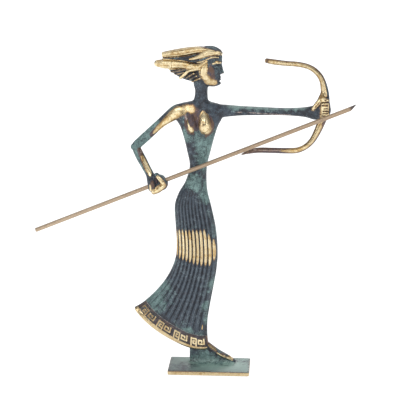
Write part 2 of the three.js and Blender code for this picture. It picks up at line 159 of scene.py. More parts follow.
body = {
    # left x, left z, right x, right z, half depth, sag of the ring's middle, pleat strength
    "stations": [
        (-51.8, 40.9, -0.6, 13, 7.4, 6.2, 0),     # hem edge
        (-45.5, 45, -1.7, 24, 7.4, 4.8, 0.6),     # thin line over the meander
        (-37.7, 52.2, -1.5, 34, 7.5, 3.5, 1),
        (-30.9, 60.4, 0.1, 44.4, 7.7, 2.5, 1),
        (-25.7, 69.7, 2.4, 57, 8, 1.6, 1),     # calves
        (-22.8, 79.2, 4.5, 69.5, 8.3, 1, 1),
        (-22.3, 88.9, 5.2, 81, 8.5, 0.5, 1),
        (-23, 101.1, 4, 97, 8.4, 0.2, 1),     # thighs
        (-23.5, 113.5, 0.8, 112.5, 7.8, 0, 0.8),     # hips
        (-20.9, 121.8, -1.5, 121.9, 6.8, 0, 0.4),
        (-16.3, 130, -2.3, 130.1, 5.8, 0, 0),
        (-13.6, 140.3, -2, 140.4, 5.2, 0, 0),     # waist
        (-15.3, 150.4, 0.4, 150.6, 5.5, 0, 0),
        (-17.2, 158.5, 2.5, 158.7, 6, 0, 0),
        (-19.7, 166.6, 5, 166.8, 6.5, 0, 0),
        (-22.3, 171, 7.3, 171.2, 6.6, 0, 0),
        (-22.6, 175.2, 8.6, 175.4, 6.2, 0, 0),
        (-22.4, 179.2, 8.6, 179.2, 5.4, 0, 0),     # shoulders
        (-20.2, 181.9, 6.3, 181.8, 4.8, 0, 0),
        (-15, 183.1, 1.7, 182.9, 4.4, 0, 0),
        (-11.6, 184.1, -1, 184.2, 4.2, 0, 0),
        (-10.4, 186.4, -1.6, 186.5, 4.1, 0, 0),
        (-10, 191, -1.7, 191.1, 4.1, 0, 0),     # neck
        (-11, 196, -1.2, 195.6, 4.2, 0, 0),
        (-9.8, 202, -1.6, 202, 3.6, 0, 0),
    ],
    "squareness": 2.4,
    # the grooves between the pleats, as shares of the robe's width, and how the pleats fade over the hips
    "firstGroove": 0.054, "firstPleat": 0.08, "pleatGrowth": 0.0013, "pleats": 10, "pleatsFade": (10.2, 8.0),
    # crestLine: half width of the pale line painted along each crest, partly rubbing and partly a painted
    # highlight
    "grooveDepth": 0.5, "grooveWidth": 0.38, "crestRound": 0.5, "crestPower": 1.6, "crestLine": 0.26,
    # the hem's pattern: how far up the stations each edge lies at the left, and how much lower at the right
    "keyTop": (1.0, 0.36), "keyBottom": (0.45, 0.26), "hemLine": (1.27, 0.38), "hemTop": 1.35,
    "sunk": 0.32, "rimHeight": 0.36, "keyHeight": 0.4, "lineHeight": 0.32, "lineWidth": 0.035,
    "keyStroke": 0.54, "keySoft": (0.2, 0.12), "keysLong": 49.2, "keysShift": 0.1, "keyPeriod": 12,
    "keyRows": 4,
    # a standing key on the rim, then a hanging one: corners in twelfths of the period, quarters of the height
    "keys": [
        [(1.8, -0.2), (1.8, 4), (5.2, 4), (5.2, 1.15), (3.2, 1.15), (3.2, 2.65), (4.0, 2.65)],
        [(10.6, 4), (10.6, 1.3), (6.9, 1.3), (6.9, 3.3), (9.1, 3.3), (9.1, 2.5)],
        [(5.2, 1.2), (5.2, -0.2)],
    ],
    # x, z, half width, half height above, half height below, height
    "breasts": [(-12.2, 167, 4.3, 9.5, 4.6, 2.5), (-3, 167.6, 5.3, 10.5, 5.6, 3.3)],
    "breastTaper": 0.3, "breastPower": 1.1,
    "notch": (-6.0, 181.6, 1.3, 1.8, 0.45),     # collar notch: x, z, height over width, reach, depth
    "hemRound": 0.9, "hemRoundEnd": 0.09, "sideFlat": 0.012,
    # rings under the hem, from its edge inwards: share of the depth, lift, how far drawn towards the middle
    "underside": [
        (0.93, -0.25, 0), (0.84, -0.2, 0.008), (0.8, 0.3, 0.016), (0.78, 2.2, 0.02), (0, 2.4, 0.02),
    ],
    "undersideMiddle": (-24.0, figureY, 24.0),
}


def ringRow(place):
    return track(body["stations"], place)


def robePoint(across, place, side):
    # x and z run from the left outline to the right one with a sag; depth is a superellipse over the width
    left, leftZ, right, rightZ, depth, sag, _ = np.moveaxis(ringRow(place), -1, 0)
    power = body["squareness"]
    off = np.abs(2 * across - 1) ** power
    swell = np.clip(1 - off, 0, 1) ** (1 / power)
    x = left + (right - left) * across
    z = leftZ + (rightZ - leftZ) * across - sag * (1 - off)
    return gridOf(x, figureY + side * depth * swell, z)


def robeCoordinates(x, z):
    # the inverse of robePoint: Newton steps on place, with across following from x
    start, rounds, step, leastSlope, longest = 6.0, 16, 0.01, 0.5, 2
    last = len(body["stations"]) - 1
    place = np.full(x.shape, start)
    for _ in range(rounds):
        heights = []
        for shift in (0, step):
            row = np.moveaxis(ringRow(place + shift), -1, 0)
            across = np.clip((x - row[0]) / (row[2] - row[0]), 0, 1)
            off = np.abs(2 * across - 1)
            heights.append(row[1] + (row[3] - row[1]) * across - row[5] * (1 - off ** body["squareness"]))
        slope = np.maximum((heights[1] - heights[0]) / step, leastSlope)
        place = np.clip(place + np.clip((z - heights[0]) / slope, -longest, longest), 0, last)
    return across, place, z - heights[0]


def hemEdge(name, across):
    start, fall = body[name]
    return start - fall * across


def pleatRelief(across, place):
    # crests 1 - |2f - 1|^p, f being the share of the way over a pleat, between grooves exp(-(d / w)^2);
    # groove n lies at c + b n + a n^2 of the robe's width
    row = ringRow(place)
    width = row[..., 2] - row[..., 0]
    strength = row[..., 6] * smooth(place - hemEdge("hemLine", across), 0.05, 0.35)
    strength *= smooth(place, *body["pleatsFade"])
    a, b, c, last = body["pleatGrowth"], body["firstPleat"], body["firstGroove"], body["pleats"]
    number = (-b + np.sqrt(np.clip(b * b - 4 * a * (c - across), 0, None))) / (2 * a)
    nearest = np.clip(np.round(number), 0, last)
    groove = bell(np.abs(across - (c + b * nearest + a * nearest**2)) * width, body["grooveWidth"])
    share = np.where(number > last, 0.5, number - np.floor(number))
    share = np.where(number < 0, 0.5 + number * 0.5, share)
    crest = 1 - np.abs(2 * share - 1) ** body["crestPower"]
    line = bell((share - 0.5) * (b + 2 * a * np.clip(number, 0, last)) * width, body["crestLine"])
    relief = crest * body["crestRound"] - groove * body["grooveDepth"]
    return strength * relief, groove * strength, crest * strength, strength * line


def meander(across, place):
    # key strokes: 1 within half a stroke's width of the polylines, in key units along and up the hem
    top, bottom = hemEdge("keyTop", across), hemEdge("keyBottom", across)
    x = across * body["keysLong"] + body["keysShift"]
    y = body["keyRows"] * (place - bottom) / (top - bottom)
    x = x - np.floor(x / body["keyPeriod"]) * body["keyPeriod"]
    far = np.min([strokeDistance(x, y, corners) for corners in body["keys"]], axis=0)
    outer, inner = body["keySoft"]
    stroke = smooth(far, body["keyStroke"] + outer, body["keyStroke"] - inner)
    return stroke * smooth(across, 0.0, 0.02) * smooth(across, 0.99, 0.97)


def hemRelief(across, place):
    # rim, key strokes and thin line stand up from a sunk band
    bottom, line = hemEdge("keyBottom", across), hemEdge("hemLine", across)
    rim = smooth(place, bottom + 0.03, bottom - 0.05)
    keys = meander(across, place)
    thin = bell(place - line, body["lineWidth"])
    ground = -body["sunk"] * smooth(place, line + 0.02, line - 0.06)
    relief = ground + np.maximum(rim * body["rimHeight"], keys * body["keyHeight"])
    return relief + thin * body["lineHeight"], rim, keys, thin


def frontSwelling(points):
    # breasts as teardrop domes h (1 - d^2)^p, long above and short below, and a shallow collar notch
    x, z = points[..., 0], points[..., 2]
    out = np.zeros(x.shape)
    for cx, cz, wide, above, below, height in body["breasts"]:
        high = np.where(z < cz, below, above)
        wideHere = wide * np.where(z > cz, 1 - body["breastTaper"] * np.clip((z - cz) / above, 0, 1), 1)
        off = np.hypot((x - cx) / wideHere, (z - cz) / high)
        out = np.maximum(out, height * dome(off, body["breastPower"]))
    notchX, notchZ, stretch, reach, depth = body["notch"]
    return out - depth * bell(np.hypot(x - notchX, (z - notchZ) / stretch), reach)


def robedBody():
    # robePoint over front and back, moved along its normals by the relief; rings close it below the hem
    columns, hemRows, upperRows = ((380, 130, 620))
    fraction = (1 - np.cos(np.linspace(0, math.pi, columns + 1))) / 2
    across = np.concatenate([fraction, fraction[-2:0:-1]])[None, :]
    side = np.concatenate([-np.ones(columns + 1), np.ones(columns - 1)])[None, :]
    hem = np.linspace(0, body["hemTop"], hemRows)
    upper = np.linspace(body["hemTop"], len(body["stations"]) - 1, upperRows)[1:]
    across, place, side = np.broadcast_arrays(across, np.concatenate([hem, upper])[:, None], side)
    points = robePoint(across, place, side)
    relief = pleatRelief(across, place)[0] + hemRelief(across, place)[0]
    relief = relief * smooth(np.minimum(across, 1 - across), 0.0, body["sideFlat"])
    inward = dome(np.clip(place / body["hemRoundEnd"], 0, 1)) ** 2
    edgeRound = body["hemRound"] * (1 - np.sqrt(np.clip(1 - inward, 0, 1)))
    points = points + normalsOf(points) * (relief - edgeRound)[..., None]
    points[..., 1] -= frontSwelling(points) * (side < 0)
    rings = [points]
    for depth, lift, inset in body["underside"]:
        ring = points[0].copy()
        ring[:, 1] = figureY + (ring[:, 1] - figureY) * depth
        ring[:, 2] += lift
        ring += (np.array(body["undersideMiddle"]) - ring) * np.array([inset, 0, inset])
        rings.insert(0, ring[None])
    top = points[-1:].copy()
    top[..., 1] = figureY
    return np.concatenate([*rings, top])


# arms and hands: rows of x, y, z, half width, half depth

arms = {
    "rightUpper": [
        (-15, 5, 177, 5, 4.4), (-21.3, 5, 176.6, 5, 4.2), (-26.8, 5, 173.3, 4, 3.7),
        (-33, 5, 168.5, 3.1, 3.1), (-39.6, 5, 162.4, 3.1, 2.9), (-45.2, 5, 157.2, 3.1, 2.7),
        (-48.2, 5, 154.5, 3, 2.7), (-49.8, 5, 153.2, 2.7, 2.5), (-50.7, 5, 152.6, 2.3, 2.2),
    ],
    "rightFore": [
        (-49.4, 5, 152, 2.8, 2.6), (-46.4, 3, 146.5, 3, 2.6), (-44, 1, 142.8, 2.9, 2.5),
        (-41.7, -1.5, 139.3, 2.7, 2.4), (-39.4, -3.5, 135.6, 2.7, 2.6), (-38.4, -4, 131.3, 2.9, 3.4),
        (-37.9, -4, 126.6, 2.6, 3.4),
    ],
    "left": [
        (1, 5, 176.6, 5.2, 4.6), (9.5, 5, 177.4, 4.2, 4.2), (20, 5, 177.6, 3.2, 3.4),
        (33, 5, 177.5, 2.75, 3), (46.3, 5, 177.3, 2.45, 2.8), (56, 5, 177.2, 2.7, 2.9),
        (63, 5, 177.1, 3.4, 3.1), (68.5, 5, 176.9, 4.7, 3.6), (72.5, 5, 177.2, 5, 3.6),
    ],
}
armShapes = {"rightUpper": (160, 64, 2.3), "rightFore": (140, 64, 2.2), "left": (220, 64, 2.25)}
rightHand = {
    "palm": [(-37.2, -3.4, 133.8, 2.4, 3.2), (-34.2, -3.4, 131.4, 4.9, 4.4), (-32, -3.4, 129.6, 4.6, 4.2)],
    # index finger: down the outer side, then folded back across the front
    "outerFinger": [
        (-34.8, -5.6, 136, 1.4, 1.7), (-32.6, -6.5, 134, 1.9, 2.1), (-30.6, -7, 131.8, 2, 2.2),
        (-29.4, -6.9, 130, 1.8, 2.1),
    ],
    "foldedFinger": [
        (-29, -6.8, 129.7, 1.7, 2.1), (-31.4, -7.4, 127.9, 2, 2.2), (-33.9, -7.6, 126.2, 2.1, 2.1),
        (-36.6, -7, 124.7, 1.7, 1.9),
    ],
    "secondFolded": [
        (-31.6, -7.2, 130.2, 0.7, 1.4), (-33.6, -7.8, 129, 0.9, 1.4), (-35.4, -7.8, 127.6, 0.9, 1.3),
    ],
    "thumb": [
        (-38.6, -5.2, 132.8, 1.3, 1.6), (-37.9, -7, 131, 1.9, 1.9), (-37.6, -7.7, 129, 2, 1.9),
        (-37.8, -7.4, 126.8, 1.6, 1.7),
    ],
}
leftHand = {
    "palm": [(69.6, 4.6, 177.6, 4.5, 3.7), (73.4, 4.6, 178.6, 5.3, 4), (75.2, 4.6, 179.4, 5, 3.6)],
    "fingers": [
        (75.5, 3.2, 174.7, 2.5, 2.6), (75.7, 3, 177, 3.1, 3), (75.7, 3, 180.4, 3.3, 3.1),
        (75.5, 3.2, 183.2, 3.2, 2.9),
    ],
    "thumb": [
        (67.8, 2.2, 179.9, 1.3, 1.3), (69.9, 1.2, 182.7, 1.6, 1.5), (72.1, 1.6, 185.6, 1.8, 1.7),
        (73.9, 4.6, 190.2, 1.5, 1.6),
    ],
    "web": [(71.8, 2.4, 185.7, 1.5, 1.6), (74.4, 1.7, 185.9, 1.7, 2), (76.6, 3.2, 185.6, 1.4, 1.8)],
}
leftHandShapes = {"palm": (2.8, 0.8), "fingers": (3.4, 0.4), "thumb": (2.4, 1), "web": (2.4, 1)}
# gaps between the fingers and dimples of the knuckles: depth, how near the front, rows of x, z, half width
carvings = [
    (0.8, 2, [(73.9, 182.2, 0.7), (76.6, 182.3, 0.8)]),
    (0.5, 2, [(75, 180.2, 0.4), (76.8, 180.3, 0.5)]),
    (0.7, 2, [(74.2, 178.5, 0.55), (76.7, 178.5, 0.65)]),
    (0.6, 2, [(74.3, 176.9, 0.5), (76.5, 176.9, 0.55)]),
    (0.6, 2, [(73.6, 175.3, 0.6), (75.4, 175.3, 0.6)]),
    (0.6, 2.4, [(72.4, 184, 0.4), (77.8, 184.1, 0.45)]),
    (0.3, 2.6, [(68.8, 180.9, 0.3), (70.6, 183.2, 0.45), (71.8, 184.4, 0.3)]),
    (0.4, 2.6, [(75.3, 185.8, 0.7), (76, 185.7, 0.7)]),
    (0.25, -6, [(-32, 129, 0.7), (-31, 129.6, 0.7)]),
    (0.25, -6, [(-34.5, 127.3, 0.6), (-33.4, 128, 0.7)]),
    (0.2, -6, [(-36.3, 125.8, 0.5), (-35.4, 126.3, 0.6)]),
    (1, -4, [(-35.4, 133.4, 0.9), (-34.6, 131.4, 1.2), (-34.8, 130.8, 1)]),
]


def armsAndHands():
    # limbs along the paths, by rings, points round, squareness and bulge of the ends
    parts = [limb(arms[name], *form) for name, form in armShapes.items()]
    parts += [limb(path, 60, 40, 2.9) for path in rightHand.values()]
    return parts + [limb(leftHand[name], 60, 56, *form) for name, form in leftHandShapes.items()]


def carved(points):
    # each stroke sinks the front by depth (1 - (d / w)^2)^p
    x, y, z = points.T
    power, soft = 0.8, 0.8
    sunk = np.zeros(x.shape)
    for depth, limit, rows in carvings:
        ratio = np.minimum(2 * (1 - strokeField(x, z, rows)), 1)
        sunk = np.maximum(sunk, depth * dome(ratio, power) * smooth(y, limit + soft, limit))
    return points + np.outer(sunk, (0, 1, 0))


# bow

bow = {
    "path": [
        (36.6, 5, 210.9, 1.55, 1.5), (41.7, 5, 210, 1.8, 1.7), (50, 5, 209.1, 1.7, 1.8),
        (56.5, 5, 208.7, 1.7, 1.8), (62.8, 5, 207.5, 1.7, 1.8), (67.6, 5, 205.2, 1.75, 1.9),
        (71.3, 5, 201.6, 1.85, 2), (73.6, 5, 197.3, 2, 2.1), (75, 5, 190.8, 2.6, 2.3),
        (75.5, 5, 183.6, 2.9, 2.5), (75, 5, 175.5, 2.6, 2.5), (72.8, 5, 169.4, 2.6, 2.4),
        (70.1, 5, 163, 2.3, 2.2), (67.1, 5, 157.8, 2, 2), (63, 5, 153.9, 1.85, 1.9),
        (57.5, 5, 151.5, 1.9, 1.8), (50.5, 5, 151.1, 1.9, 1.8), (41.3, 5, 151.2, 1.85, 1.7),
        (32.1, 5, 151.2, 1.8, 1.5), (25.3, 5, 149.9, 1.3, 1), (21, 5, 148.2, 0.45, 0.5),
    ],
    "ridge": 1.6, "endBulge": 0.6, "rings": 520, "around": 48,
}


def bowStave():
    return limb(bow["path"], bow["rings"], bow["around"], bow["ridge"], bow["endBulge"])


# head, face and hair

head = {
    # z, back x, front x, half width, how far the half width shrinks towards the face
    "rings": [
        (193.6, -1.5, 3.4, 1.4, 0.10), (194.5, -4.6, 5.6, 3, 0.22), (196.2, -6.6, 6.3, 4.1, 0.26),
        (198.2, -7.6, 6.5, 4.8, 0.27), (200.4, -8.4, 6.7, 5.3, 0.26), (202.8, -9, 6.8, 5.7, 0.24),
        (205.2, -9.5, 6.9, 6, 0.21), (207.6, -9.8, 7.2, 6.2, 0.18), (210, -9.9, 7.7, 6.3, 0.15),
        (212.6, -9.7, 7.9, 6.2, 0.13), (215.2, -9, 7.6, 5.8, 0.11), (217.4, -7.6, 6.3, 4.8, 0.08),
        (219, -5.2, 3.9, 3.2, 0.04), (219.8, -2.6, 1.2, 1.4, 0),
    ],
    "round": 0.92, "rise": 0.15,
    "eyeZ": 206.9, "browZ": 209.5, "noseBase": 201.9, "noseTop": 208.6, "mouthZ": 199.0,
    "eye": (2.85, 1.75, 1.05), "lids": (0.72, 0.5, 0.06),
    # soft bumps: rise, distance from the middle, reach sideways, z, reach upwards
    "bumps": [
        (0.75, 1.25, 0.55, 202.65, 0.75),      # wings of the nose
        (-0.5, 0.65, 0.4, 201.75, 0.3),        # nostrils
        (-1.15, 2.9, 1.55, 207.15, 1.35),      # sockets
        (0.45, 4.3, 1.7, 204, 1.5),            # cheekbones
        (-0.35, 4.2, 1.4, 200.2, 1.6),         # hollows of the cheeks
        (-0.42, 0, 1.7, 197, 0.6),             # dip under the lips
        (0.95, 0, 1.8, 195.6, 0.95),           # chin
    ],
    # the hairline: z and x, and how far down the hair reaches
    "hairlineZ": [196, 201, 205, 209, 211.5, 213.2, 214.6, 215.6],
    "hairlineX": [-3.4, -2.6, -1.6, -0.2, 1.8, 4.2, 6.6, 9],
    "hairEnd": (197.5, 199.5),
    "combs": 13, "combSlant": 0.12, "combDepth": 0.26, "combPower": 1.5, "combMiddle": 205, "hairRise": 0.5,
}


def faceRelief(z, lateral, front):
    # features as bells and domes of height z and of distance from the middle; front fades them out
    side = np.abs(lateral)
    out = np.zeros(z.shape)
    for rise, away, reach, height, up in head["bumps"]:
        out += rise * bell(side - away, reach) * bell(z - height, up)
    # nose: a straight bridge that widens and rises from brow to tip, cut back sharply under the tip
    base, top = head["noseBase"], head["noseTop"]
    down = np.clip((top - z) / (top - base), 0, 1)
    bridge = smooth(z, base - 0.35, base + 0.55) * smooth(z, top + 1.2, top - 1.5)
    out += bridge * (0.5 + 2.15 * down**1.15) * bell(side, 0.75 + 0.55 * down**2)
    # brow ridge
    arch = head["browZ"] + 0.35 * bell(side - 3.0, 1.6) - 0.05 * side
    out += 0.6 * bell(z - arch, 0.75) * smooth(side, 0.5, 1.4) * smooth(side, 6.2, 4.2)
    # eyeball, both lids and the crease over the upper one
    away, wide, high = head["eye"]
    lid = (side - away) / wide
    out += 0.95 * dome(np.hypot(lid, (z - head["eyeZ"]) / high), 0.8)
    upper, lower, drop = head["lids"]
    arc = np.sqrt(np.clip(1 - lid**2, 0, 1))
    upperLid = head["eyeZ"] + upper * arc - drop
    lowerLid = head["eyeZ"] - lower * arc - drop
    nearEye = smooth(np.abs(lid), 1.1, 0.9)
    out += nearEye * (0.26 * bell(z - upperLid, 0.22) + 0.18 * bell(z - lowerLid, 0.2))
    out -= nearEye * 0.18 * bell(z - upperLid - 0.5, 0.2)
    # lips: two soft rolls parted by a line, the upper one bowed, a groove above them
    line = head["mouthZ"] + 0.1 * bell(side - 1.0, 0.6) - 0.1 * bell(side, 0.4)
    out += 0.62 * smooth(side, 2.5, 1.5) * bell(z - line - 0.62, 0.5) * (1 - 0.3 * bell(side, 0.3))
    out += 0.66 * smooth(side, 2.2, 1.1) * bell(z - line + 0.72, 0.58)
    out -= 0.5 * smooth(side, 2.7, 2.0) * bell(z - line, 0.17)
    out -= 0.3 * bell(side, 0.35) * bell(z - line - 1.5, 0.5)
    return out * front


def hairMask(x, z):
    # 1 behind the hairline, which runs from the forehead back and down in front of the ear
    line = np.interp(z, head["hairlineZ"], head["hairlineX"])
    return smooth(x - line, 0.5, -0.5) * smooth(z, *head["hairEnd"])


def skull():
    # slightly squared ovals, narrower towards the face, with the face's relief and combed hair behind it
    rings, around = ((320, 420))
    rows = track(head["rings"], np.linspace(0, len(head["rings"]) - 1, rings))
    z, back, front, half, taper = (rows[:, k, None] for k in range(5))
    cosine, sine = np.cos(turns(around)), np.sin(turns(around))
    x = (back + front) / 2 + (front - back) / 2 * signed(cosine, head["round"])
    y = half * sine * (1 - taper * cosine)
    points = gridOf(x, figureY + y, z)
    facing = smooth(cosine, 0.02, 0.35) * np.ones(z.shape)
    relief = faceRelief(points[..., 2], points[..., 1] - figureY, facing)
    points[..., 0] += relief * (0.35 + 0.65 * np.abs(cosine))
    points[..., 1] += relief * 0.75 * sine * (np.abs(cosine) < 0.98)
    hair = hairMask(points[..., 0], points[..., 2])
    bearing = np.arctan2(points[..., 2] - head["combMiddle"], np.abs(points[..., 1] - figureY))
    wave = np.abs(np.sin(bearing * head["combs"] + points[..., 0] * head["combSlant"]))
    combed = head["combDepth"] * (1 - wave) ** head["combPower"]
    points += normalsOf(points) * (hair * (head["hairRise"] - combed))[..., None]
    return capped(points, (0, 0, head["rise"]))


def strands(count, depth, twist=0.0, crease=None):
    # grooves along a lock: -depth (1 - |cos(n a + t s)|), shallower at its ends, and a crease round it
    def relief(share, turn):
        wave = np.abs(np.cos(count / 2 * turn + twist * share))
        fade = smooth(share, 0.0, 0.1) * smooth(share, 1.0, 0.9)
        cut = 0.28 * bell(share - crease - 0.012 * np.sin(turn), 0.012) if crease else 0
        return -depth * (1 - wave) * (0.4 + 0.6 * fade) - cut
    return relief


hairLocks = [
    # in the middle plane: rows of x, y, z, half width, half depth; count, depth and twist of the combed lines
    {"path": [(2, 5, 217.8, 1.4, 4.4), (-6, 5, 217.7, 2.1, 4.9), (-11, 5, 217.2, 2.4, 4.8),
              (-16.6, 5, 216.3, 2.7, 4.5), (-21.5, 5, 215.5, 2.6, 4.1), (-26.2, 5, 214.9, 2.3, 3.5),
              (-31.2, 5, 214.2, 1.8, 2.9)], "lines": (10, 0.3, 0.8), "bulge": 0.4, "square": 2.8},
    {"path": [(-5.5, 5, 206.6, 1.8, 6.2), (-10.6, 5, 207, 2.3, 5.9), (-15.3, 5, 207.7, 2.7, 5.5),
              (-20.5, 5, 208.2, 2.9, 5), (-25.5, 5, 208.2, 3.1, 4.7), (-30.2, 5, 208.2, 3.2, 4.2),
              (-34.7, 5, 208.5, 2.3, 3.1)],
     "lines": (6, 0.3, 0.5), "bulge": 0.95, "square": 2.6, "crease": 0.64},
    {"path": [(-2, 5, 211.5, 5, 5.4), (-12, 5, 211.8, 4, 4.2), (-20, 5, 211.8, 2.6, 3.2),
              (-27, 5, 211.6, 1.8, 2.4), (-30.6, 5, 211.6, 1.1, 1.8)],
     "lines": (16, 0.5, 0.3), "bulge": 0.8, "square": 2.2},
    {"path": [(-5, 5, 201.2, 4.6, 4.8), (-12, 5, 201.6, 4.6, 4.1), (-17, 5, 202.6, 4.2, 3.5),
              (-22, 5, 203.9, 3, 2.9), (-26.4, 5, 205.2, 1.3, 1.9)],
     "lines": (20, 0.5, 0.6), "bulge": 0.8, "square": 2.2},
]
sideLocks = [
    # on both sides of the head: rows of x, distance from the middle, z, half width, half depth; rub: shine
    {"path": [(7.3, 0, 215.3, 1, 0.9), (6.9, 1.9, 215.5, 1.2, 1), (5, 4.1, 216.4, 1.7, 1.3),
              (0.9, 5.6, 216.6, 2.05, 1.4), (-3, 6, 215.5, 1.75, 1.35), (-6.6, 5.8, 214, 1.4, 1.25),
              (-10, 5.2, 212.7, 1.05, 1.1), (-13.2, 4.5, 212, 0.6, 0.8)], "lines": (6, 0.2, 0.5)},
    {"path": [(5.4, 4.5, 213.3, 0.5, 0.7), (3.2, 5.5, 213.6, 0.75, 0.85), (0.2, 6, 213, 0.8, 0.9),
              (-4.4, 6, 211, 0.75, 0.85), (-8.2, 5.4, 209.9, 0.45, 0.7)],
     "lines": (4, 0.2, 0.4), "rub": 0.56},
    {"path": [(-2.2, 6, 211.4, 0.5, 0.7), (-2.9, 6.3, 208.8, 1.35, 0.9), (-3.7, 6.3, 205.6, 2, 0.9),
              (-3.9, 5.8, 202.6, 1.9, 0.8), (-2.6, 5.2, 199.6, 1.3, 0.6)], "lines": (6, 0.16, 0.2)},
    {"path": [(-1.6, 6.3, 210.8, 0.4, 0.6), (-5.2, 6.2, 208.6, 1.2, 1), (-8.6, 5.8, 207.2, 1.7, 1),
              (-12.5, 5.2, 207.2, 1.8, 0.9), (-17, 4.3, 207.8, 1.7, 0.7)], "lines": (4, 0.2, 0.2)},
    {"path": [(-6.8, 5.5, 206.2, 1.3, 1), (-11, 5.1, 205.2, 1.25, 1.1), (-14.2, 4.8, 204, 1.1, 1.05),
              (-16.4, 4.3, 201.9, 1.2, 1), (-19.4, 3.3, 199.5, 0.95, 0.9)],
     "lines": (4, 0.2, 0.3), "rub": 0.9},
    {"path": [(-15, 4.3, 205.4, 0.9, 0.9), (-19.4, 4, 204.5, 0.95, 0.9), (-23.4, 2.9, 203.5, 0.8, 0.8),
              (-25.6, 1.8, 203.2, 0.5, 0.7)], "lines": (4, 0.22, 0.3), "rub": 0.32},
    {"path": [(-17.4, 3.8, 203.2, 0.7, 0.8), (-20.4, 3.2, 202.3, 0.8, 0.8), (-23, 2.2, 201.9, 0.6, 0.7)],
     "lines": (4, 0.2, 0.3), "rub": 0.3},
    {"path": [(-10.6, 4.5, 202.6, 0.8, 0.9), (-13, 4.2, 201.2, 0.9, 0.9), (-15, 3.6, 199.9, 0.7, 0.8),
              (-15.9, 3, 199, 0.4, 0.6)], "lines": (4, 0.22, 0.3), "rub": 0.3},
    {"path": [(-8.8, 4.7, 201, 0.7, 0.9), (-11, 4.4, 199.9, 0.8, 0.9), (-12.8, 3.7, 198.9, 0.6, 0.8)],
     "lines": (4, 0.22, 0.3), "rub": 0.26},
    {"path": [(-6.6, 4.8, 199.4, 0.7, 0.8), (-9, 4.3, 198.4, 0.85, 0.9), (-11.6, 3.2, 197.1, 0.6, 0.8)],
     "lines": (4, 0.2, 0.3), "rub": 0.36},
]


def hair():
    # the middle locks as they are, the side locks once on each side
    pieces = []
    for lock in hairLocks:
        relief = strands(*lock["lines"], lock.get("crease"))
        pieces.append(limb(lock["path"], 240, 120, lock["square"], lock["bulge"], relief))
    for side in (-1, 1):
        for lock in sideLocks:
            path = [(x, figureY + side * off, z, half, deep) for x, off, z, half, deep in lock["path"]]
            pieces.append(limb(path, 90, 44, 2.2, 1.0, strands(*lock["lines"])))
    return pieces


# foot, wedge and plate

foot = {
    # x, y, z, half width, half depth
    "path": [
        (-6.5, 6, 18.6, 2.2, 3), (-1.7, 6, 15.2, 1.8, 3.3), (3.3, 6, 11.5, 1.6, 3.4),
        (6.9, 6, 9.2, 1.5, 3.5), (10.4, 6, 7.3, 1.4, 3.6), (13.9, 6, 5.6, 1.1, 3.4), (17.4, 6, 4, 0.6, 2.6),
    ],
    "squareness": 2.4, "bulge": 0.9, "toes": 5, "toeGroove": 0.42, "toePower": 1.5,
    # the wedge under it: x, top, half width; how it flares into the plate and how square it is
    "wedge": [
        (-13.7, 20, 2.4), (-8, 20, 2.7), (-3, 16.4, 2.8), (1.5, 12.4, 2.7), (6, 9.2, 2.6), (10.5, 6.6, 2.4),
        (14.5, 4.8, 2.1), (17, 3.9, 1.3),
    ],
    "flare": 1.5, "flareHeight": 0.8, "wedgeTop": 0.75, "wedgeSide": 0.62, "wedgeSunk": 1.2,
    "plate": (55.0, 30.0, 3.0), "bevel": 0.55, "corners": 60,
    # the plate's rounded edges, in bevels: lift and draw-in of each ring
    "edge": [(0, 9), (0, 1), (0.15, 0.5), (0.5, 0.13), (1, 0), (1, 0)],
}


def toeLines(share, turn):
    # grooves between the toes over the front of the foot: |cos| of the place across it
    lines = (1 - np.abs(np.cos(np.sin(turn) * math.pi * foot["toes"] / 2))) ** foot["toePower"]
    return -foot["toeGroove"] * lines * smooth(share, 0.5, 0.72) * smooth(np.abs(np.cos(turn)), 0.1, 0.5)


def footAndWedge():
    # the wedge's sections across x: flared into the plate as exp(-h / f), upright, rounded over the top
    rings, around = 160, 96
    rows = track(foot["wedge"], np.linspace(0, len(foot["wedge"]) - 1, rings))
    x, top, half = rows[:, 0, None], rows[:, 1, None], rows[:, 2, None]
    plateTop = foot["plate"][2]
    up = np.sin(turns(around))
    over = plateTop + (top - plateTop) * np.abs(up) ** foot["wedgeTop"]
    height = np.where(up > 0, over, plateTop - foot["wedgeSunk"] * np.abs(up))
    flare = foot["flare"] * np.exp(-np.maximum(height - plateTop, 0) / foot["flareHeight"])
    wide = (half + flare) * signed(np.cos(turns(around)), foot["wedgeSide"])
    wedge = capped(gridOf(x, footY + wide, height))
    return [wedge, limb(foot["path"], 220, around, foot["squareness"], foot["bulge"], toeLines)]


def plateSlab():
    # a box with rounded edges: rings of a superellipse-cornered rectangle, drawn in at top and bottom
    length, depth, thick = foot["plate"]
    lift, drawIn = np.array(foot["edge"]).T * foot["bevel"]
    z = np.concatenate([lift, thick - lift[::-1]])[:, None]
    inset = np.concatenate([drawIn, drawIn[::-1]])[:, None]
    cosine, sine = (signed(wave(turns(240)), 2 / foot["corners"]) for wave in (np.cos, np.sin))
    return capped(gridOf((length / 2 - inset) * cosine, (depth / 2 - inset) * sine, z))


# meshes

def inScene(name, data):
    made = bpy.data.objects.new(name, data)
    bpy.context.scene.collection.objects.link(made)
    return made


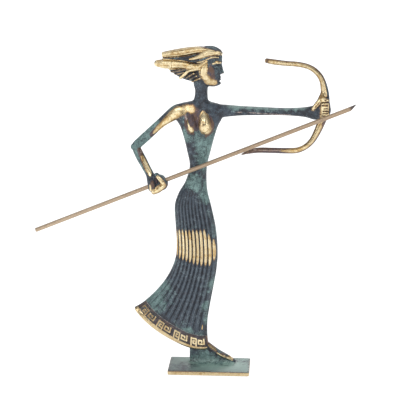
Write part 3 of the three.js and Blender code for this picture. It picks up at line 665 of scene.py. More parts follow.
def meshFrom(name, grids):
    # one mesh of quads from closed grids: each face joins two neighbours with the two on the next ring
    vertices, faces, start = [], [], 0
    for grid in grids:
        rows, columns = grid.shape[:2]
        index = np.arange(rows * columns).reshape(rows, columns) + start
        right = np.roll(index, -1, axis=1)
        faces.append(np.stack([index[:-1], right[:-1], right[1:], index[1:]], -1).reshape(-1, 4))
        vertices.append(grid.reshape(-1, 3))
        start += rows * columns
    vertices, faces = np.concatenate(vertices), np.concatenate(faces)
    mesh = bpy.data.meshes.new(name)
    mesh.vertices.add(len(vertices))
    mesh.vertices.foreach_set("co", vertices.astype(np.float32).ravel())
    mesh.loops.add(faces.size)
    mesh.loops.foreach_set("vertex_index", faces.astype(np.int32).ravel())
    mesh.polygons.add(len(faces))
    mesh.polygons.foreach_set("loop_start", np.arange(0, faces.size, 4, dtype=np.int32))
    mesh.update(calc_edges=True)
    return mesh


def shape(made):
    # works the object's modifiers into its mesh
    graph = bpy.context.evaluated_depsgraph_get()
    made.data = bpy.data.meshes.new_from_object(made.evaluated_get(graph))
    made.modifiers.clear()


def readRows(items, name, width, kind):
    flat = np.empty(len(items) * width, kind)
    items.foreach_get(name, flat)
    return flat.reshape(-1, width)


def coordinates(mesh):
    return readRows(mesh.vertices, "co", 3, np.float32).astype(float)


def setCoordinates(mesh, points):
    mesh.vertices.foreach_set("co", points.astype(np.float32).ravel())
    mesh.update()


def setLayer(mesh, name, values):
    mesh.attributes.new(name, "FLOAT", "POINT").data.foreach_set("value", values.astype(np.float32))


def relax(points, edges, weight, rounds, back=0.0):
    # each point moves by weight towards the mean of its neighbours; back undoes part of the shrinking
    count = len(points)
    degree = np.bincount(edges.ravel(), minlength=count)[:, None].astype(float)

    def meanOf(values):
        total = np.stack([np.bincount(edges[:, 0], values[edges[:, 1], k], count)
                          + np.bincount(edges[:, 1], values[edges[:, 0], k], count) for k in range(3)], 1)
        return total / np.maximum(degree, 1)

    for _ in range(rounds):
        points = points + weight * (meanOf(points) - points)
        if back:
            points = points - back * weight * (meanOf(points) - points)
    return points


def relaxNear(points, edges, weight, rounds):
    # relax where weight is above 0, on that part of the mesh alone
    near = weight > 0
    touched = near.copy()
    touched[edges[near[edges].any(1)]] = True
    index = np.cumsum(touched) - 1
    part = edges[touched[edges].all(1)]
    points = points.copy()
    points[touched] = relax(points[touched], index[part], 0.5 * weight[touched][:, None], rounds)
    return points


fuse = {
    "voxel": 0.19, "quickVoxel": 0.4, "faces": 196000, "firstRounds": 2, "firstBack": 0.9,
    # places where the pieces flow into one another: x, y, z, reach, rounds of smoothing
    "joins": [
        (-19.5, 5, 176, 10, 120), (6.5, 5, 177, 10, 120), (-49, 5, 152.8, 5, 60), (-40, -3, 136, 3.4, 40),
        (67.5, 5, 177, 4.5, 60), (-6, 5, 183, 6.5, 60), (-1, 5, 194, 3.2, 50), (-9, 5, 195, 2.5, 20),
        (-0.5, 6, 16, 4, 60), (-12.5, 6, 15, 3.5, 30), (74, 4, 189, 3.6, 60), (73.5, 5, 171.5, 3, 30),
        (6.6, 5, 215.4, 2.4, 20), (-2.6, -0.8, 201, 3.4, 16), (-2.6, 10.8, 201, 3.4, 16),
    ],
    # where the wedge meets the plate: middle x, half length, half width, height, rounds, quick rounds
    "skirting": (1.5, 16.5, 4.2, 3.8, 260, 60),
    "sharp": 62,      # degrees between faces from which an edge stays sharp
}
rod = {
    "start": (-116.6, -4, 96.6), "end": (95.8, -4, 182.7), "radius": 1.4, "hole": 1.6, "tip": 4.8,
    "edge": 0.12, "chamfer": 0.25, "around": 64, "drill": (0.33, 0.37, 0.41, 0.45), "sharp": 35,
}


def drill(rough):
    # the rod's hole: a bar along its axis taken out of the fist alone
    start, end = np.array(rod["start"], float), np.array(rod["end"], float)
    rows = [(*(start + (end - start) * share), rod["hole"], rod["hole"]) for share in rod["drill"]]
    bar = inScene("drill", meshFrom("drill", [limb(rows, 4, 48, 2.0, 0.3)]))
    cut = rough.modifiers.new("hole", "BOOLEAN")
    cut.operation, cut.solver, cut.object = "DIFFERENCE", "MANIFOLD", bar
    shape(rough)
    bpy.data.objects.remove(bar)


def fusedCasting():
    # all grids melted into one skin, relaxed where they meet, carved, thinned and drilled
    grids = [robedBody(), skull(), bowStave(), plateSlab(), *footAndWedge(), *armsAndHands(), *hair()]
    print("  pieces worked out:", len(grids), "grids,", sum(g.shape[0] * g.shape[1] for g in grids), "points")
    rough = inScene("rough_cast", meshFrom("rough_cast", grids))
    remesh = rough.modifiers.new("melt", "REMESH")
    remesh.mode = "VOXEL"
    remesh.voxel_size = fuse["voxel"]
    shape(rough)
    melted = rough.data
    print("  melted into", len(melted.polygons), "faces")
    points, edges = coordinates(melted), readRows(melted.edges, "vertices", 2, np.int32)
    points = relax(points, edges, 0.5, fuse["firstRounds"], fuse["firstBack"])
    for x, y, z, reach, rounds in fuse["joins"]:
        distance = np.linalg.norm(points - np.array([x, y, z]), axis=1) / reach
        points = relaxNear(points, edges, smooth(distance, 1.0, 0.4), rounds)
    middle, long, wide, height, rounds, quickRounds = fuse["skirting"]
    away = np.maximum(np.abs(points[:, 0] - middle) - long, np.abs(points[:, 1] - footY) - wide)
    weight = smooth(np.abs(points[:, 2] - height), 2.8, 1.0) * smooth(away, 2.5, 0.5)
    points = relaxNear(points, edges, weight, rounds)
    setCoordinates(melted, carved(points))
    thin = rough.modifiers.new("thin", "DECIMATE")
    thin.ratio = min(1.0, fuse["faces"] / (2 * len(melted.polygons)))
    shape(rough)
    drill(rough)
    print("  thinned to", len(rough.data.polygons), "faces")
    return rough


# where the brass is bared, browned and greened

marks = {
    # strokes over the casting's faces: rows of x, z, half width
    "polish": [
        [(-12.2, 178.8, 2.6), (-19, 178.2, 2.9), (-23.6, 174.8, 3.1), (-27.6, 171.6, 2.6),
         (-31.4, 168.2, 2.1), (-35, 164.8, 1.5), (-37.4, 162.4, 0.6)],  # shoulder and upper arm
        [(-45, 147, 0.9), (-43, 143.2, 1.35), (-40.6, 139, 1.45), (-39, 136, 0.9)],
        [(-41.2, 142.6, 0.25), (-38.2, 136.6, 0.35)],
        [(67.4, 179.8, 1.2), (69.9, 183, 1.6), (71.8, 186.2, 2), (73.6, 189.2, 2.6)],
        [(71.8, 185.8, 1.6), (77, 185.4, 1.5)], [(-4.6, 31.4, 0.3), (-5.4, 25.4, 0.45)],
    ],
    "polishFront": [
        [(75.2, 174.6, 2.6), (75.3, 178, 2.8), (75.4, 183.2, 2.9)],  # fingers on the bow
        [(-34, 135, 0.9), (-32.2, 133, 1.3), (-30.7, 130.9, 1.4)],  # fist
        [(-29.9, 129.4, 1.5), (-33, 127.2, 1.8), (-36.4, 125.1, 1.6)],
        [(-38.8, 129.4, 0.6), (-38.7, 126.2, 0.8)],
        [(-14.8, 173, 0.25), (-14.1, 169.8, 0.4), (-13.2, 167.6, 0.7)],  # breasts
        [(-12.6, 166.4, 1.5), (-11.9, 165.2, 1.5)],
        [(-4.4, 176.8, 1.5), (-4, 174.2, 3), (-3.4, 170.2, 3.6), (-2.6, 166.6, 3.5), (-2, 165.2, 2.8)],
    ],
    "polishFoot": [
        [(-0.8, 15.8, 0.5), (1, 14.3, 0.6), (4.2, 12, 0.5)],
        [(5, 10.5, 0.4), (7.6, 8.8, 0.6), (10.2, 7.9, 0.7)],
        [(11.6, 7.2, 0.5), (13.4, 6.4, 0.7), (15.4, 5.3, 0.6)],
    ],
    "brownFront": [
        [(-11.8, 180.4, 2.4), (-10.4, 176.4, 4.4), (-9.8, 171, 4.3), (-9.2, 167, 2.4)],  # chest
        [(-15.6, 174, 1), (-15.6, 168, 1.1), (-13.6, 163.6, 1.2), (-10.8, 163.2, 0.9)],
        [(0.4, 174.6, 0.6), (1.6, 169.6, 1.4), (0.8, 164.2, 1.6), (-2.4, 161.8, 0.9)],
        [(-37.4, 131.4, 1.5), (-37.2, 129.2, 1.5)], [(79.2, 183.6, 0.6), (79.4, 177, 0.7)],
    ],
    "brown": [
        [(-38.6, 161.4, 1.6), (-36.6, 164.4, 1.2), (-31.6, 170, 0.7), (-27.4, 174.2, 0.5)],
        [(-46.8, 151, 1.6), (-45.6, 147.6, 1.5), (-44.6, 143.2, 0.8), (-41.6, 138, 0.7)],
        [(-36.6, 123.6, 0.8), (-31, 126, 0.7), (-27.4, 129.6, 0.9)],
        [(-2.2, 22, 0.6), (-0.6, 17.4, 1.5), (2, 13.4, 1.3), (5, 11, 0.6)],
        [(8, 9.6, 0.5), (9.4, 8.8, 0.6)],
    ],
    "rubAndGlint": [
        # pale pinkish rubbing, partly a painted highlight, broken by noise
        [(17, 177.2, 0.35), (21.6, 176.9, 0.5)], [(26, 177, 0.4), (30.6, 176.6, 0.5)],
        [(31.4, 176.3, 0.4), (35.2, 176.1, 0.45)],
        [(35.8, 176.2, 0.3), (44, 175.7, 0.42), (54, 175.4, 0.3)],
        [(29, 151.6, 0.5), (34, 151.5, 0.35), (46, 151.4, 0.4), (52, 151, 0.9)],
        [(-46, 150.6, 0.5), (-45.6, 149.2, 0.5)], [(-16.4, 175.4, 0.8), (-15.2, 172.4, 0.7)],
    ],
    "hole": [
        # small dark pits down the front of the waist, and the dark palm
        [(-2.2, 154.6, 0.3), (-2.3, 151.6, 0.3)], [(-2.1, 149.9, 0.2), (-2.2, 149.4, 0.2)],
        [(-5.3, 138, 0.28), (-5.2, 135.7, 0.3)], [(-4.5, 134.2, 0.22), (-4.5, 133.1, 0.25)],
        [(-4.9, 132.4, 0.3), (-4.9, 130.9, 0.26)], [(-5.3, 128.7, 0.2), (-5.3, 127.7, 0.2)],
        [(-34.6, 131, 0.9), (-35.2, 133.2, 0.7)],
    ],
    # rows of x, z, reach: greener verdigris, darker patina, tarnish on the polished parts; some green and
    # dark spots are painted highlight, painted shade and painted shadow, as marked below
    "teal": [
        (-37.1, 48.7, 7), (-29.8, 58, 4.5), (-3, 44.8, 3.2), (-1.8, 34, 3.5), (-14.1, 27.6, 2.5),
        (-2.4, 120, 4.5), (-1, 144, 7), (-3, 152, 8), (-9.6, 130, 5), (-2, 160, 7), (-16.5, 160, 4),
        (0, 128, 5), (-45, 157, 7.5), (-36, 167.5, 4), (-50, 150, 5), (-44, 140, 4), (3, -2, 17),
        # the green spots from 18, 181.6 to 58, 180.4, along the top of the outstretched arm, are a painted
        # highlight
        (-4, 6, 5), (18, 181.6, 4), (26, 181.4, 3.8), (34, 181, 3.6), (42, 180.8, 3.6), (50, 180.6, 3.6),
        (58, 180.4, 3.4), (-24, 179, 3), (3, 60, 4),
    ],
    "charcoal": [
        (-12, 112, 9), (-15, 62, 11), (-12, 48, 9), (-6, 188, 6), (-13.6, 152, 4), (-10, 70, 10),
        # the dark spots at z about 175 from x 17 to 68, along the outstretched arm's underside, are painted
        # shade
        (-12.5, 143, 3), (6, 176, 6), (-20, 40, 6), (60, 174.6, 5), (68, 177, 6), (48, 174.8, 4.6),
        (41, 174.8, 4.4), (33, 174.8, 4.4), (25, 174.6, 4.6), (17, 175, 4.6), (54, 174.6, 4.6),
        # the dark spots at -11, 17.8 and -3, 15 just under the hem, and from 1, 11.6 to 17, 4.6 along the
        # foot's lower edge, are painted shadow on the wedge
        (-38.6, 133.6, 3), (4, 171, 3), (-10, 88, 9), (-9, 34, 6), (-11, 17.8, 5), (-3, 15, 3.4),
        (1, 11.6, 2.6), (5, 9.2, 2.4), (9, 7.4, 2.4), (13, 5.8, 2.2), (17, 4.6, 2), (74, 179, 7),
    ],
    "speckled": [
        (-5.4, 188.6, 5), (-4, 182, 3.5), (20, 176.4, 3), (28, 176, 3), (40, 175.4, 3), (58, 175, 4),
        (66, 176, 4.5), (4.5, 108, 3), (-4, 14, 4), (6, 9, 3), (-11, 20, 3), (-3, 8, 4.5), (-12, 12, 3),
        (-7, 158, 3), (-4, 134, 4),
    ],
    "tarnish": [
        (-3.8, 171, 1.4), (-3.7, 169.4, 1.6), (-14.6, 176.4, 1.1), (-17.2, 179.6, 0.6), (-26.6, 173.6, 0.5),
        (-5, 79, 0.9), (3.6, 88.4, 0.7), (1.6, 89.2, 0.5), (-24.2, 215.7, 0.6), (-20.8, 215.9, 0.5),
        (-18, 217.2, 0.5), (-14.4, 216.6, 0.55), (-11.6, 217.4, 0.5), (-27.4, 207.4, 0.5),
        (-9.6, 207.2, 0.5), (-33.6, 127.2, 0.6), (-30.8, 131.8, 0.5), (8.8, 9, 0.5), (37, 210.6, 1.5),
        (75.4, 172.6, 1.5), (74.2, 169.8, 1.2),
    ],
}
wear = {
    # the dress: z and x limits, and the wedge's part left out of it (half width, left end)
    "dressZ": (10, 126), "dressX": 8, "wedgePart": (3.6, -14.6), "bandEnd": 9,
    # polish of the hem's rim, keys (left, and how much more at the right), thin line; brown of ground, rim
    "rim": 0.69, "keys": (0.42, 0.32), "thin": 0.36, "hemBrown": 0.52, "rimBrown": 0.7, "lineRubAndGlint": 0.62,
    # the band of rubbed pleats: x, then z of its upper and of its lower edge
    "bandTop": ([-24, -22.2, -12.9, -3.2, 1.2, 3.9, 6], [97.6, 97.8, 98.1, 98.5, 92.7, 90, 86]),
    "bandBottom": ([-24, -21.8, -13.8, -6.7, 0.3, 3.4, 6], [79, 78.1, 76, 73.8, 73.5, 77.2, 80]),
    "bandPoint": 3.2, "bandSoft": 4, "bandGroove": 1.1, "bandSide": 0.3, "bandBrown": 1.2,
    # the head: from this height up; the dark crown lies above a line of x and z; strokes of x, z, half width
    "headZ": 193.5, "hairX": 8.4, "jawX": 7.8, "faceX": -7,
    "crown": ([-40, -18, -9, 0, 7], [226, 222, 220.4, 218.6, 217.2]),
    "jaw": [(-6.4, 205.4, 1.7), (-4.2, 201.4, 2.7), (-1, 198, 2.9), (3, 196.2, 2.1), (7.2, 196.4, 1.2)],
    "brow": [(2.2, 209.2, 0.5), (4.4, 210.2, 0.8), (6.6, 209.6, 0.7)],
    "cheek": [(-0.6, 208.4, 1.3), (0.8, 204.4, 2.3), (1.2, 200.2, 2.2)],
    # the bow: it begins right of bowX and leaves the hand out; its middle, its dull tail, the dark grip
    "bowX": 18, "bowHand": (171.8, 186.8), "bowMiddle": (45, 179), "tail": (57, 43), "tailZ": 170,
    "bowPolish": 0.80, "grip": (74, 77, 188, 9, 13),
    # the plate: bared outside this share of its half sizes
    "plateZ": 3.2, "plateShare": 0.9, "platePolish": 0.63,
}


def lockField(points, lock, middle):
    # 1 on a lock's axis, 0.5 on its surface: 1 - r / 2, r being the distance in units of its half widths
    x, y, z = points.T
    off, loose = np.abs(y - figureY), 1.05
    best = np.zeros(x.shape)
    rows = np.array(lock["path"], float)
    for a, b in zip(rows[:-1], rows[1:]):
        t, distance = nearSegment(x, z, a[[0, 2]], b[[0, 2]])
        near = a + t[:, None] * (b - a)
        deep = (off - (0 if middle else near[:, 1])) / (near[:, 4] * loose)
        best = np.maximum(best, 1 - 0.5 * np.hypot(distance / (near[:, 3] * loose), deep))
    return best


def spotField(x, z, name):
    # the strongest of soft spots exp(-(d / reach)^2)
    return np.max([bell(np.hypot(x - sx, z - sz), reach) for sx, sz, reach in marks[name]], axis=0)


def most(*values):
    # the greatest of several fields
    return np.max(np.broadcast_arrays(*values), axis=0)


def paintDress(points, polish, brown):
    # hem: rim, keys and line bared, the ground brown; a band of crests bared between its two edges, dulled
    # where the robe's sides turn away, a painted shade; pale crest lines below it, partly rubbing and partly
    # a painted highlight
    x, y, z = points.T
    across, place, miss = robeCoordinates(x, z)
    low, high = wear["dressZ"]
    dress = (z > low) & (z < high) & (np.abs(across - 0.5) < 0.499) & (miss > -0.6) & (x < wear["dressX"])
    half, left = wear["wedgePart"]
    dress &= ~((miss < 0.25) & (np.abs(y - footY) < half) & (x > left))
    hemPart = dress & (place < body["hemTop"])
    rim, keys, thin = hemRelief(across, place)[1:]
    groove, crest, crestLine = pleatRelief(across, place)[1:]
    least, more = wear["keys"]
    hemPolish = most(rim * wear["rim"], keys * (least + more * across), thin * wear["thin"])
    inside = np.minimum(np.interp(x, *wear["bandTop"]) - z, z - np.interp(x, *wear["bandBottom"]))
    inside -= wear["bandPoint"] * (1 - crest)
    band = np.clip(0.5 + inside / wear["bandSoft"], 0, 1)
    band -= groove * wear["bandGroove"] + wear["bandSide"] * (1 - crest)
    # painted shade: the band is dulled towards the robe's two sides, where the surface turns away
    sideShade = smooth(np.abs(across - 0.5), 0.47, 0.5)
    polish = np.where(dress & (place < wear["bandEnd"]), np.maximum(polish, band - sideShade * 0.4), polish)
    hue = 0.5 + 0.22 * np.sin(across * 61) + 0.14 * np.sin(across * 143 + z * 0.25)
    brown = np.where(dress, np.maximum(brown, wear["bandBrown"] * hue * smooth(band, 0.0, 0.4)), brown)
    ground = (1 - np.maximum(rim, keys)) * smooth(place - hemEdge("hemLine", across), 0.03, -0.05)
    hemBrown = np.maximum(ground * wear["hemBrown"], rim * wear["rimBrown"])
    # pale lines on the pleat crests and on the hem's thin line, partly rubbing and partly a painted highlight
    ridge = crestLine * dress * (place > 1.3) * (1 - np.clip(band * 2, 0, 1)) + thin * hemPart * 0.8
    polish, brown = np.where(hemPart, hemPolish, polish), np.where(hemPart, hemBrown, brown)
    return polish, brown, ridge, hemPart, thin * hemPart


def paintHead(points, seen, raised, polish, brown):
    # hair: the locks' raised faces, the crown left out, less bared on faces turned up and away from the
    # front, a painted dark edge; then the jaw, brow and cheek
    x, y, z = points.T
    fields = [smooth(lockField(points, lock, True), 0.38, 0.46) for lock in hairLocks[:2]]
    fields += [smooth(lockField(points, lock, False), 0.38, 0.46) * lock.get("rub", 1) for lock in sideLocks]
    strength = most(*fields)
    headPart = z > wear["headZ"]
    crown = smooth(z - np.interp(x, *wear["crown"]), -0.4, 0.4)
    # painted shade: the seen term darkens the gold where faces turn up and away from the front
    hairPolish = strength * (0.52 + 0.36 * smooth(seen, 0.1, 0.85)) * (1 - crown) + (raised - 0.02) * 2.0
    hairPart = headPart & (x < wear["hairX"]) & ((hairMask(x, z) > 0.3) | (strength > 0.3))
    facePart = headPart & ~hairPart & (x > wear["faceX"])
    jaw, brow, cheek = (strokeField(x, z, wear[name]) for name in ("jaw", "brow", "cheek"))
    jaw *= smooth(np.abs(y - figureY), 1.6, 3.0)
    polish = np.where(hairPart, hairPolish, np.where(facePart, np.maximum(brow, raised * 1.5), polish))
    onJaw = headPart & (x < wear["jawX"]) & (strength < 0.3)
    polish = np.where(onJaw, np.maximum(polish, jaw * 0.8), polish)
    brown = np.where(facePart, most(cheek, brown, jaw * 0.7), brown)
    return polish, np.where(hairPart, 0.34 + 0.3 * strength - raised * 1.5, brown)


def paintBow(points, normals, polish, brown):
    # bared all along, save its rims, which are a painted dark outline, its outer edge, the tail of the lower
    # limb and the grip's back
    x, _, z = points.T
    field = strokeField(x, z, [(row[0], row[2], row[3] * 1.3) for row in bow["path"]])
    below, above = wear["bowHand"]
    bowPart = (x > wear["bowX"]) & (field > 0.35) & ((z > above) | (z < below))
    tail = smooth(x, *wear["tail"]) * (z < wear["tailZ"])
    awayX, awayZ = x - wear["bowMiddle"][0], z - wear["bowMiddle"][1]
    outward = (normals[:, 0] * awayX + normals[:, 2] * awayZ) / np.maximum(np.hypot(awayX, awayZ), 1)
    outer = smooth(outward, 0.25, 0.75) * np.where(z > 178, 0.65, 1.0)
    # painted shade: the rims, where the stave turns away from the front, are kept dull and brown
    rim = smooth(field, 0.80, 0.66)
    low, high, gripZ, inner, end = wear["grip"]
    grip = outer * smooth(x, low, high) * smooth(np.abs(z - gripZ), end, inner)
    bared = wear["bowPolish"] - 0.44 * tail - 0.3 * rim - 0.3 * outer
    polish = np.where(bowPart, bared, polish) - 0.5 * grip
    return polish, np.where(bowPart, np.maximum(0.64 - 0.04 * tail, rim * 0.75), brown) * (1 - grip)


def paintPlate(points, normals, polish, brown):
    # bared sides and underside, a brown line along the top edge, less bared towards the bottom edge
    x, y, z = points.T
    length, depth, _ = foot["plate"]
    edge = np.maximum(np.abs(x) * 2 / length, np.abs(y) * 2 / depth)
    platePart = (z < wear["plateZ"]) & (edge > wear["plateShare"])
    upright = smooth(np.hypot(normals[:, 0], normals[:, 1]), 0.45, 0.75)
    line = smooth(z, 2.3, 2.75) * 0.55
    bared = upright * wear["platePolish"] - line - smooth(z, 0.7, 0.2) * 0.16
    polish = np.where(z < 0.05, 0.8, np.where(platePart, bared, polish))
    return polish, np.where(platePart, np.maximum(line * 0.9, 0.8 * upright), brown)


def paintCasting(mesh):
    # layers on the mesh's vertices: strokes and spots of the marks, then the rules of each part
    points, edges = coordinates(mesh), readRows(mesh.edges, "vertices", 2, np.int32)
    normals = readRows(mesh.vertices, "normal", 3, np.float32).astype(float)
    raised = np.einsum("ij,ij->i", points - relax(points, edges, 0.5, 8), normals)
    x, y, z = points.T
    fields = {name: np.max([strokeField(x, z, rows) for rows in marks[name]], axis=0)
              for name in ("polish", "polishFront", "polishFoot", "brown", "brownFront", "rubAndGlint", "hole")}
    facing, upward = np.abs(normals[:, 1]), normals[:, 2]
    front = smooth(-normals[:, 1], 0.1, 0.45)
    seen = facing + 0.8 * np.clip(-upward, 0, 1)
    onToes = (z > 3.6) & (z < 17)
    polish = most(fields["polish"] * smooth(seen, 0.15, 0.5), fields["polishFront"] * front,
                  fields["polishFoot"] * onToes)
    brown = np.maximum(fields["brown"], fields["brownFront"] * front)
    polish, brown, ridge, hemPart, hemLine = paintDress(points, polish, brown)
    polish, brown = paintHead(points, seen, raised, polish, brown)
    polish, brown = paintBow(points, normals, polish, brown)
    polish, brown = paintPlate(points, normals, polish, brown)

    polish = polish - 0.5 * spotField(x, z, "tarnish")
    brown = np.maximum(brown, 0.45 * spotField(x, z, "speckled") * (polish < 0.4))
    # two corners of the plate are made darker and less green, with less of the painted sheen
    dull = smooth(z, 3.6, 3.0) * np.maximum(smooth(x + 0.7 * y, -4, -26), 0.7 * smooth(x - 0.4 * y, 14, 30))
    green = spotField(x, z, "teal") - 0.8 * spotField(x, z, "charcoal") - 0.6 * dull
    # carved gaps and small pits are dull and brown, those of the bow hand most
    gaps = [strokeField(x, z, rows) * smooth(y, limit + 1.6, limit + 1.0) for _, limit, rows in carvings]
    sunk = smooth(most(*gaps), 0.35, 1.0) * front
    slots = sunk * (x > 60)
    pit = smooth(fields["hole"], 0.4, 0.6) * front
    raised = raised * (1 - 0.8 * slots)
    polish = polish - 0.02 * sunk - 0.44 * slots - 0.4 * pit
    brown = np.maximum(brown, 0.9 * sunk)
    # painted highlight: the outstretched arm's upward faces are painted paler and take the painted sheen too;
    # plate and wedge get a painted sheen of pale green, lighter to the right, and a less rough finish
    onArm = smooth(x, 8, 16) * smooth(x, 66, 58) * smooth(np.abs(z - 178), 5, 4)
    ridge += 1.3 * onArm * smooth(upward, 0.35, 0.8)
    onFoot = strokeField(x, z, [(row[0], row[2], row[3] * 1.2) for row in foot["path"]])
    glossAndPaintedSheen = smooth(z, 8.0, 3.6) * ~hemPart * smooth(onFoot, 0.62, 0.46)
    glossAndPaintedSheen *= (0.65 + 0.35 * smooth(x, -20, 6)) * (1 - 0.4 * dull)
    glossAndPaintedSheen += 0.5 * onArm * smooth(upward, 0.3, 0.8)
    # pale pinkish rubbing and painted highlight on faces turned to the front or back, and along the hem's
    # thin line
    rubAndGlint = fields["rubAndGlint"] * smooth(facing, 0.1, 0.4) + wear["lineRubAndGlint"] * hemLine
    layers = {"polish": polish, "brown": brown, "green": 0.5 + 0.5 * green,
              "raised": 0.5 + raised * 2.2 - pit, "ridge": ridge, "glossAndPaintedSheen": glossAndPaintedSheen, "rubAndGlint": rubAndGlint}
    for name, values in layers.items():
        setLayer(mesh, name, np.clip(values, 0, 1))
    print("  painted", {name: round(float(np.mean(values)), 3) for name, values in layers.items()})


# materials

class Socket:
    # a shader value: + - * between sockets and numbers add Math nodes
    def __init__(self, tree, output):
        self.tree, self.output = tree, output

    def maths(self, operation, first, second):
        return self.tree.node("ShaderNodeMath", {"operation": operation}, first, second)

    def __add__(self, other):
        return self.maths("ADD", self, other)

    __radd__ = __add__

    def __sub__(self, other):
        return self.maths("SUBTRACT", self, other)

    def __rsub__(self, other):
        return self.maths("SUBTRACT", other, self)

    def __mul__(self, other):
        return self.maths("MULTIPLY", self, other)

    def atMost(self, other):
        return self.maths("MINIMUM", self, other)

    def atLeast(self, other):
        return self.maths("MAXIMUM", self, other)

    def step(self, low, high):
        # 0 at low and 1 at high, smooth between
        settings = {"interpolation_type": "SMOOTHSTEP"}
        return self.tree.node("ShaderNodeMapRange", settings, self, low, high, 0.0, 1.0)


class Finish:
    # a material and its node tree
    def __init__(self, name):
        self.material = bpy.data.materials.new(name)
        self.material.use_nodes = True
        self.tree = self.material.node_tree
        self.shader = self.tree.nodes["Principled BSDF"]

    def connect(self, value, socket):
        if isinstance(value, Socket):
            self.tree.links.new(value.output, socket)
        else:
            socket.default_value = value

    def node(self, kind, settings, *values, places=range(9), output=0, **named):
        # settings first, then the inputs by their places or by name
        made = self.tree.nodes.new(kind)
        for name, value in settings.items():
            setattr(made, name, value)
        for place, value in zip(places, values):
            self.connect(value, made.inputs[place])
        for name, value in named.items():
            self.connect(value, made.inputs[name])
        return Socket(self, made.outputs[output])

    def layer(self, name):
        return self.node("ShaderNodeAttribute", {"attribute_name": name}, output="Fac")

    def place(self):
        return self.node("ShaderNodeTexCoord", {}, output="Object")

    def noise(self, where, scale, detail, roughness, distortion=0.0):
        return self.node("ShaderNodeTexNoise", {}, Vector=where, Scale=scale, Detail=detail,
                         Roughness=roughness, Distortion=distortion, output="Fac")

    def cells(self, where, scale):
        return self.node("ShaderNodeTexVoronoi", {}, Vector=where, Scale=scale, output="Distance")

    def mapped(self, where, **values):
        return self.node("ShaderNodeMapping", {}, Vector=where, **values)

    def blend(self, amount, first, second):
        colours = (value if isinstance(value, Socket) else (*value, 1) for value in (first, second))
        return self.node("ShaderNodeMix", {"data_type": "RGBA"}, amount, *colours, places=(0, 6, 7), output=2)

    def bump(self, height, distance, strength):
        return self.node("ShaderNodeBump", {}, Height=height, Distance=distance, Strength=strength)

    def put(self, **values):
        for name, value in values.items():
            self.connect(value, self.shader.inputs[name.replace("_", " ")])


tints = {
    "charcoal": (0.016, 0.019, 0.027), "slate": (0.042, 0.060, 0.082), "teal": (0.102, 0.172, 0.168),
    "verdigris": (0.255, 0.39, 0.37), "sage": (0.33, 0.48, 0.42), "ash": (0.19, 0.235, 0.265),
    "brown": (0.150, 0.088, 0.060), "violet": (0.085, 0.056, 0.070), "rose": (0.40, 0.26, 0.22),
    "rubAndGlint": (0.62, 0.52, 0.47), "brassDeep": (0.27, 0.16, 0.065), "brass": (0.64, 0.46, 0.215),
    "brassPale": (0.86, 0.73, 0.46),
}
patina = {
    # noises: scale, detail, roughness, distortion
    "noises": {"cloud": (90, 4.0, 0.6), "blotch": (330, 4.0, 0.65), "grain": (1150, 3.0, 0.7),
               "fine": (3400, 2.0, 0.6), "flush": (600, 3.0, 0.7, 0.4), "sheen": (42, 2.0, 0.5)},
    "pits": 620, "scratches": (900.0, 900.0, 5200.0), "bump": (0.00028, 0.65),
    # layers: where each begins and is full on its noise, and how strongly it covers
    "green": (0.42, 0.80, 1), "slate": (0.34, 0.64, 1), "bloom": (0.515, 0.66, 0.6),
    "hollow": (0.46, 0.26, 0.62), "dark": (0.475, 0.37, 0.88), "salt": (0.57, 0.65, 0.55),
    "ridge": (0.3, 0.9, 0.38), "sage": (0.28, 0.56, 0.95), "violet": (0.60, 0.70, 0.45),
    "bare": (0.45, 0.54, 1), "rubbed": (0.36, 0.56, 0.4), "halo": (0.25, 0.42, 0.8), "brown": (0.42, 0.62, 1),
    "rose": (0.56, 0.68, 0.5), "glint": (0.54, 0.72, 0.6), "glintRose": (0.42, 0.6, 1),
    "pale": (0.38, 0.60, 1), "paintedDarkEdge": (0.86, 0.50, 0.8), "deepBrown": (0.3, 0.8, 0.42),
    "stain": (0.55, 0.68, 0.5),
}


def cover(name, value):
    # a layer's smooth step on a value, times its strength
    low, high, strength = patina[name]
    return value.step(low, high) if strength == 1 else value.step(low, high) * strength


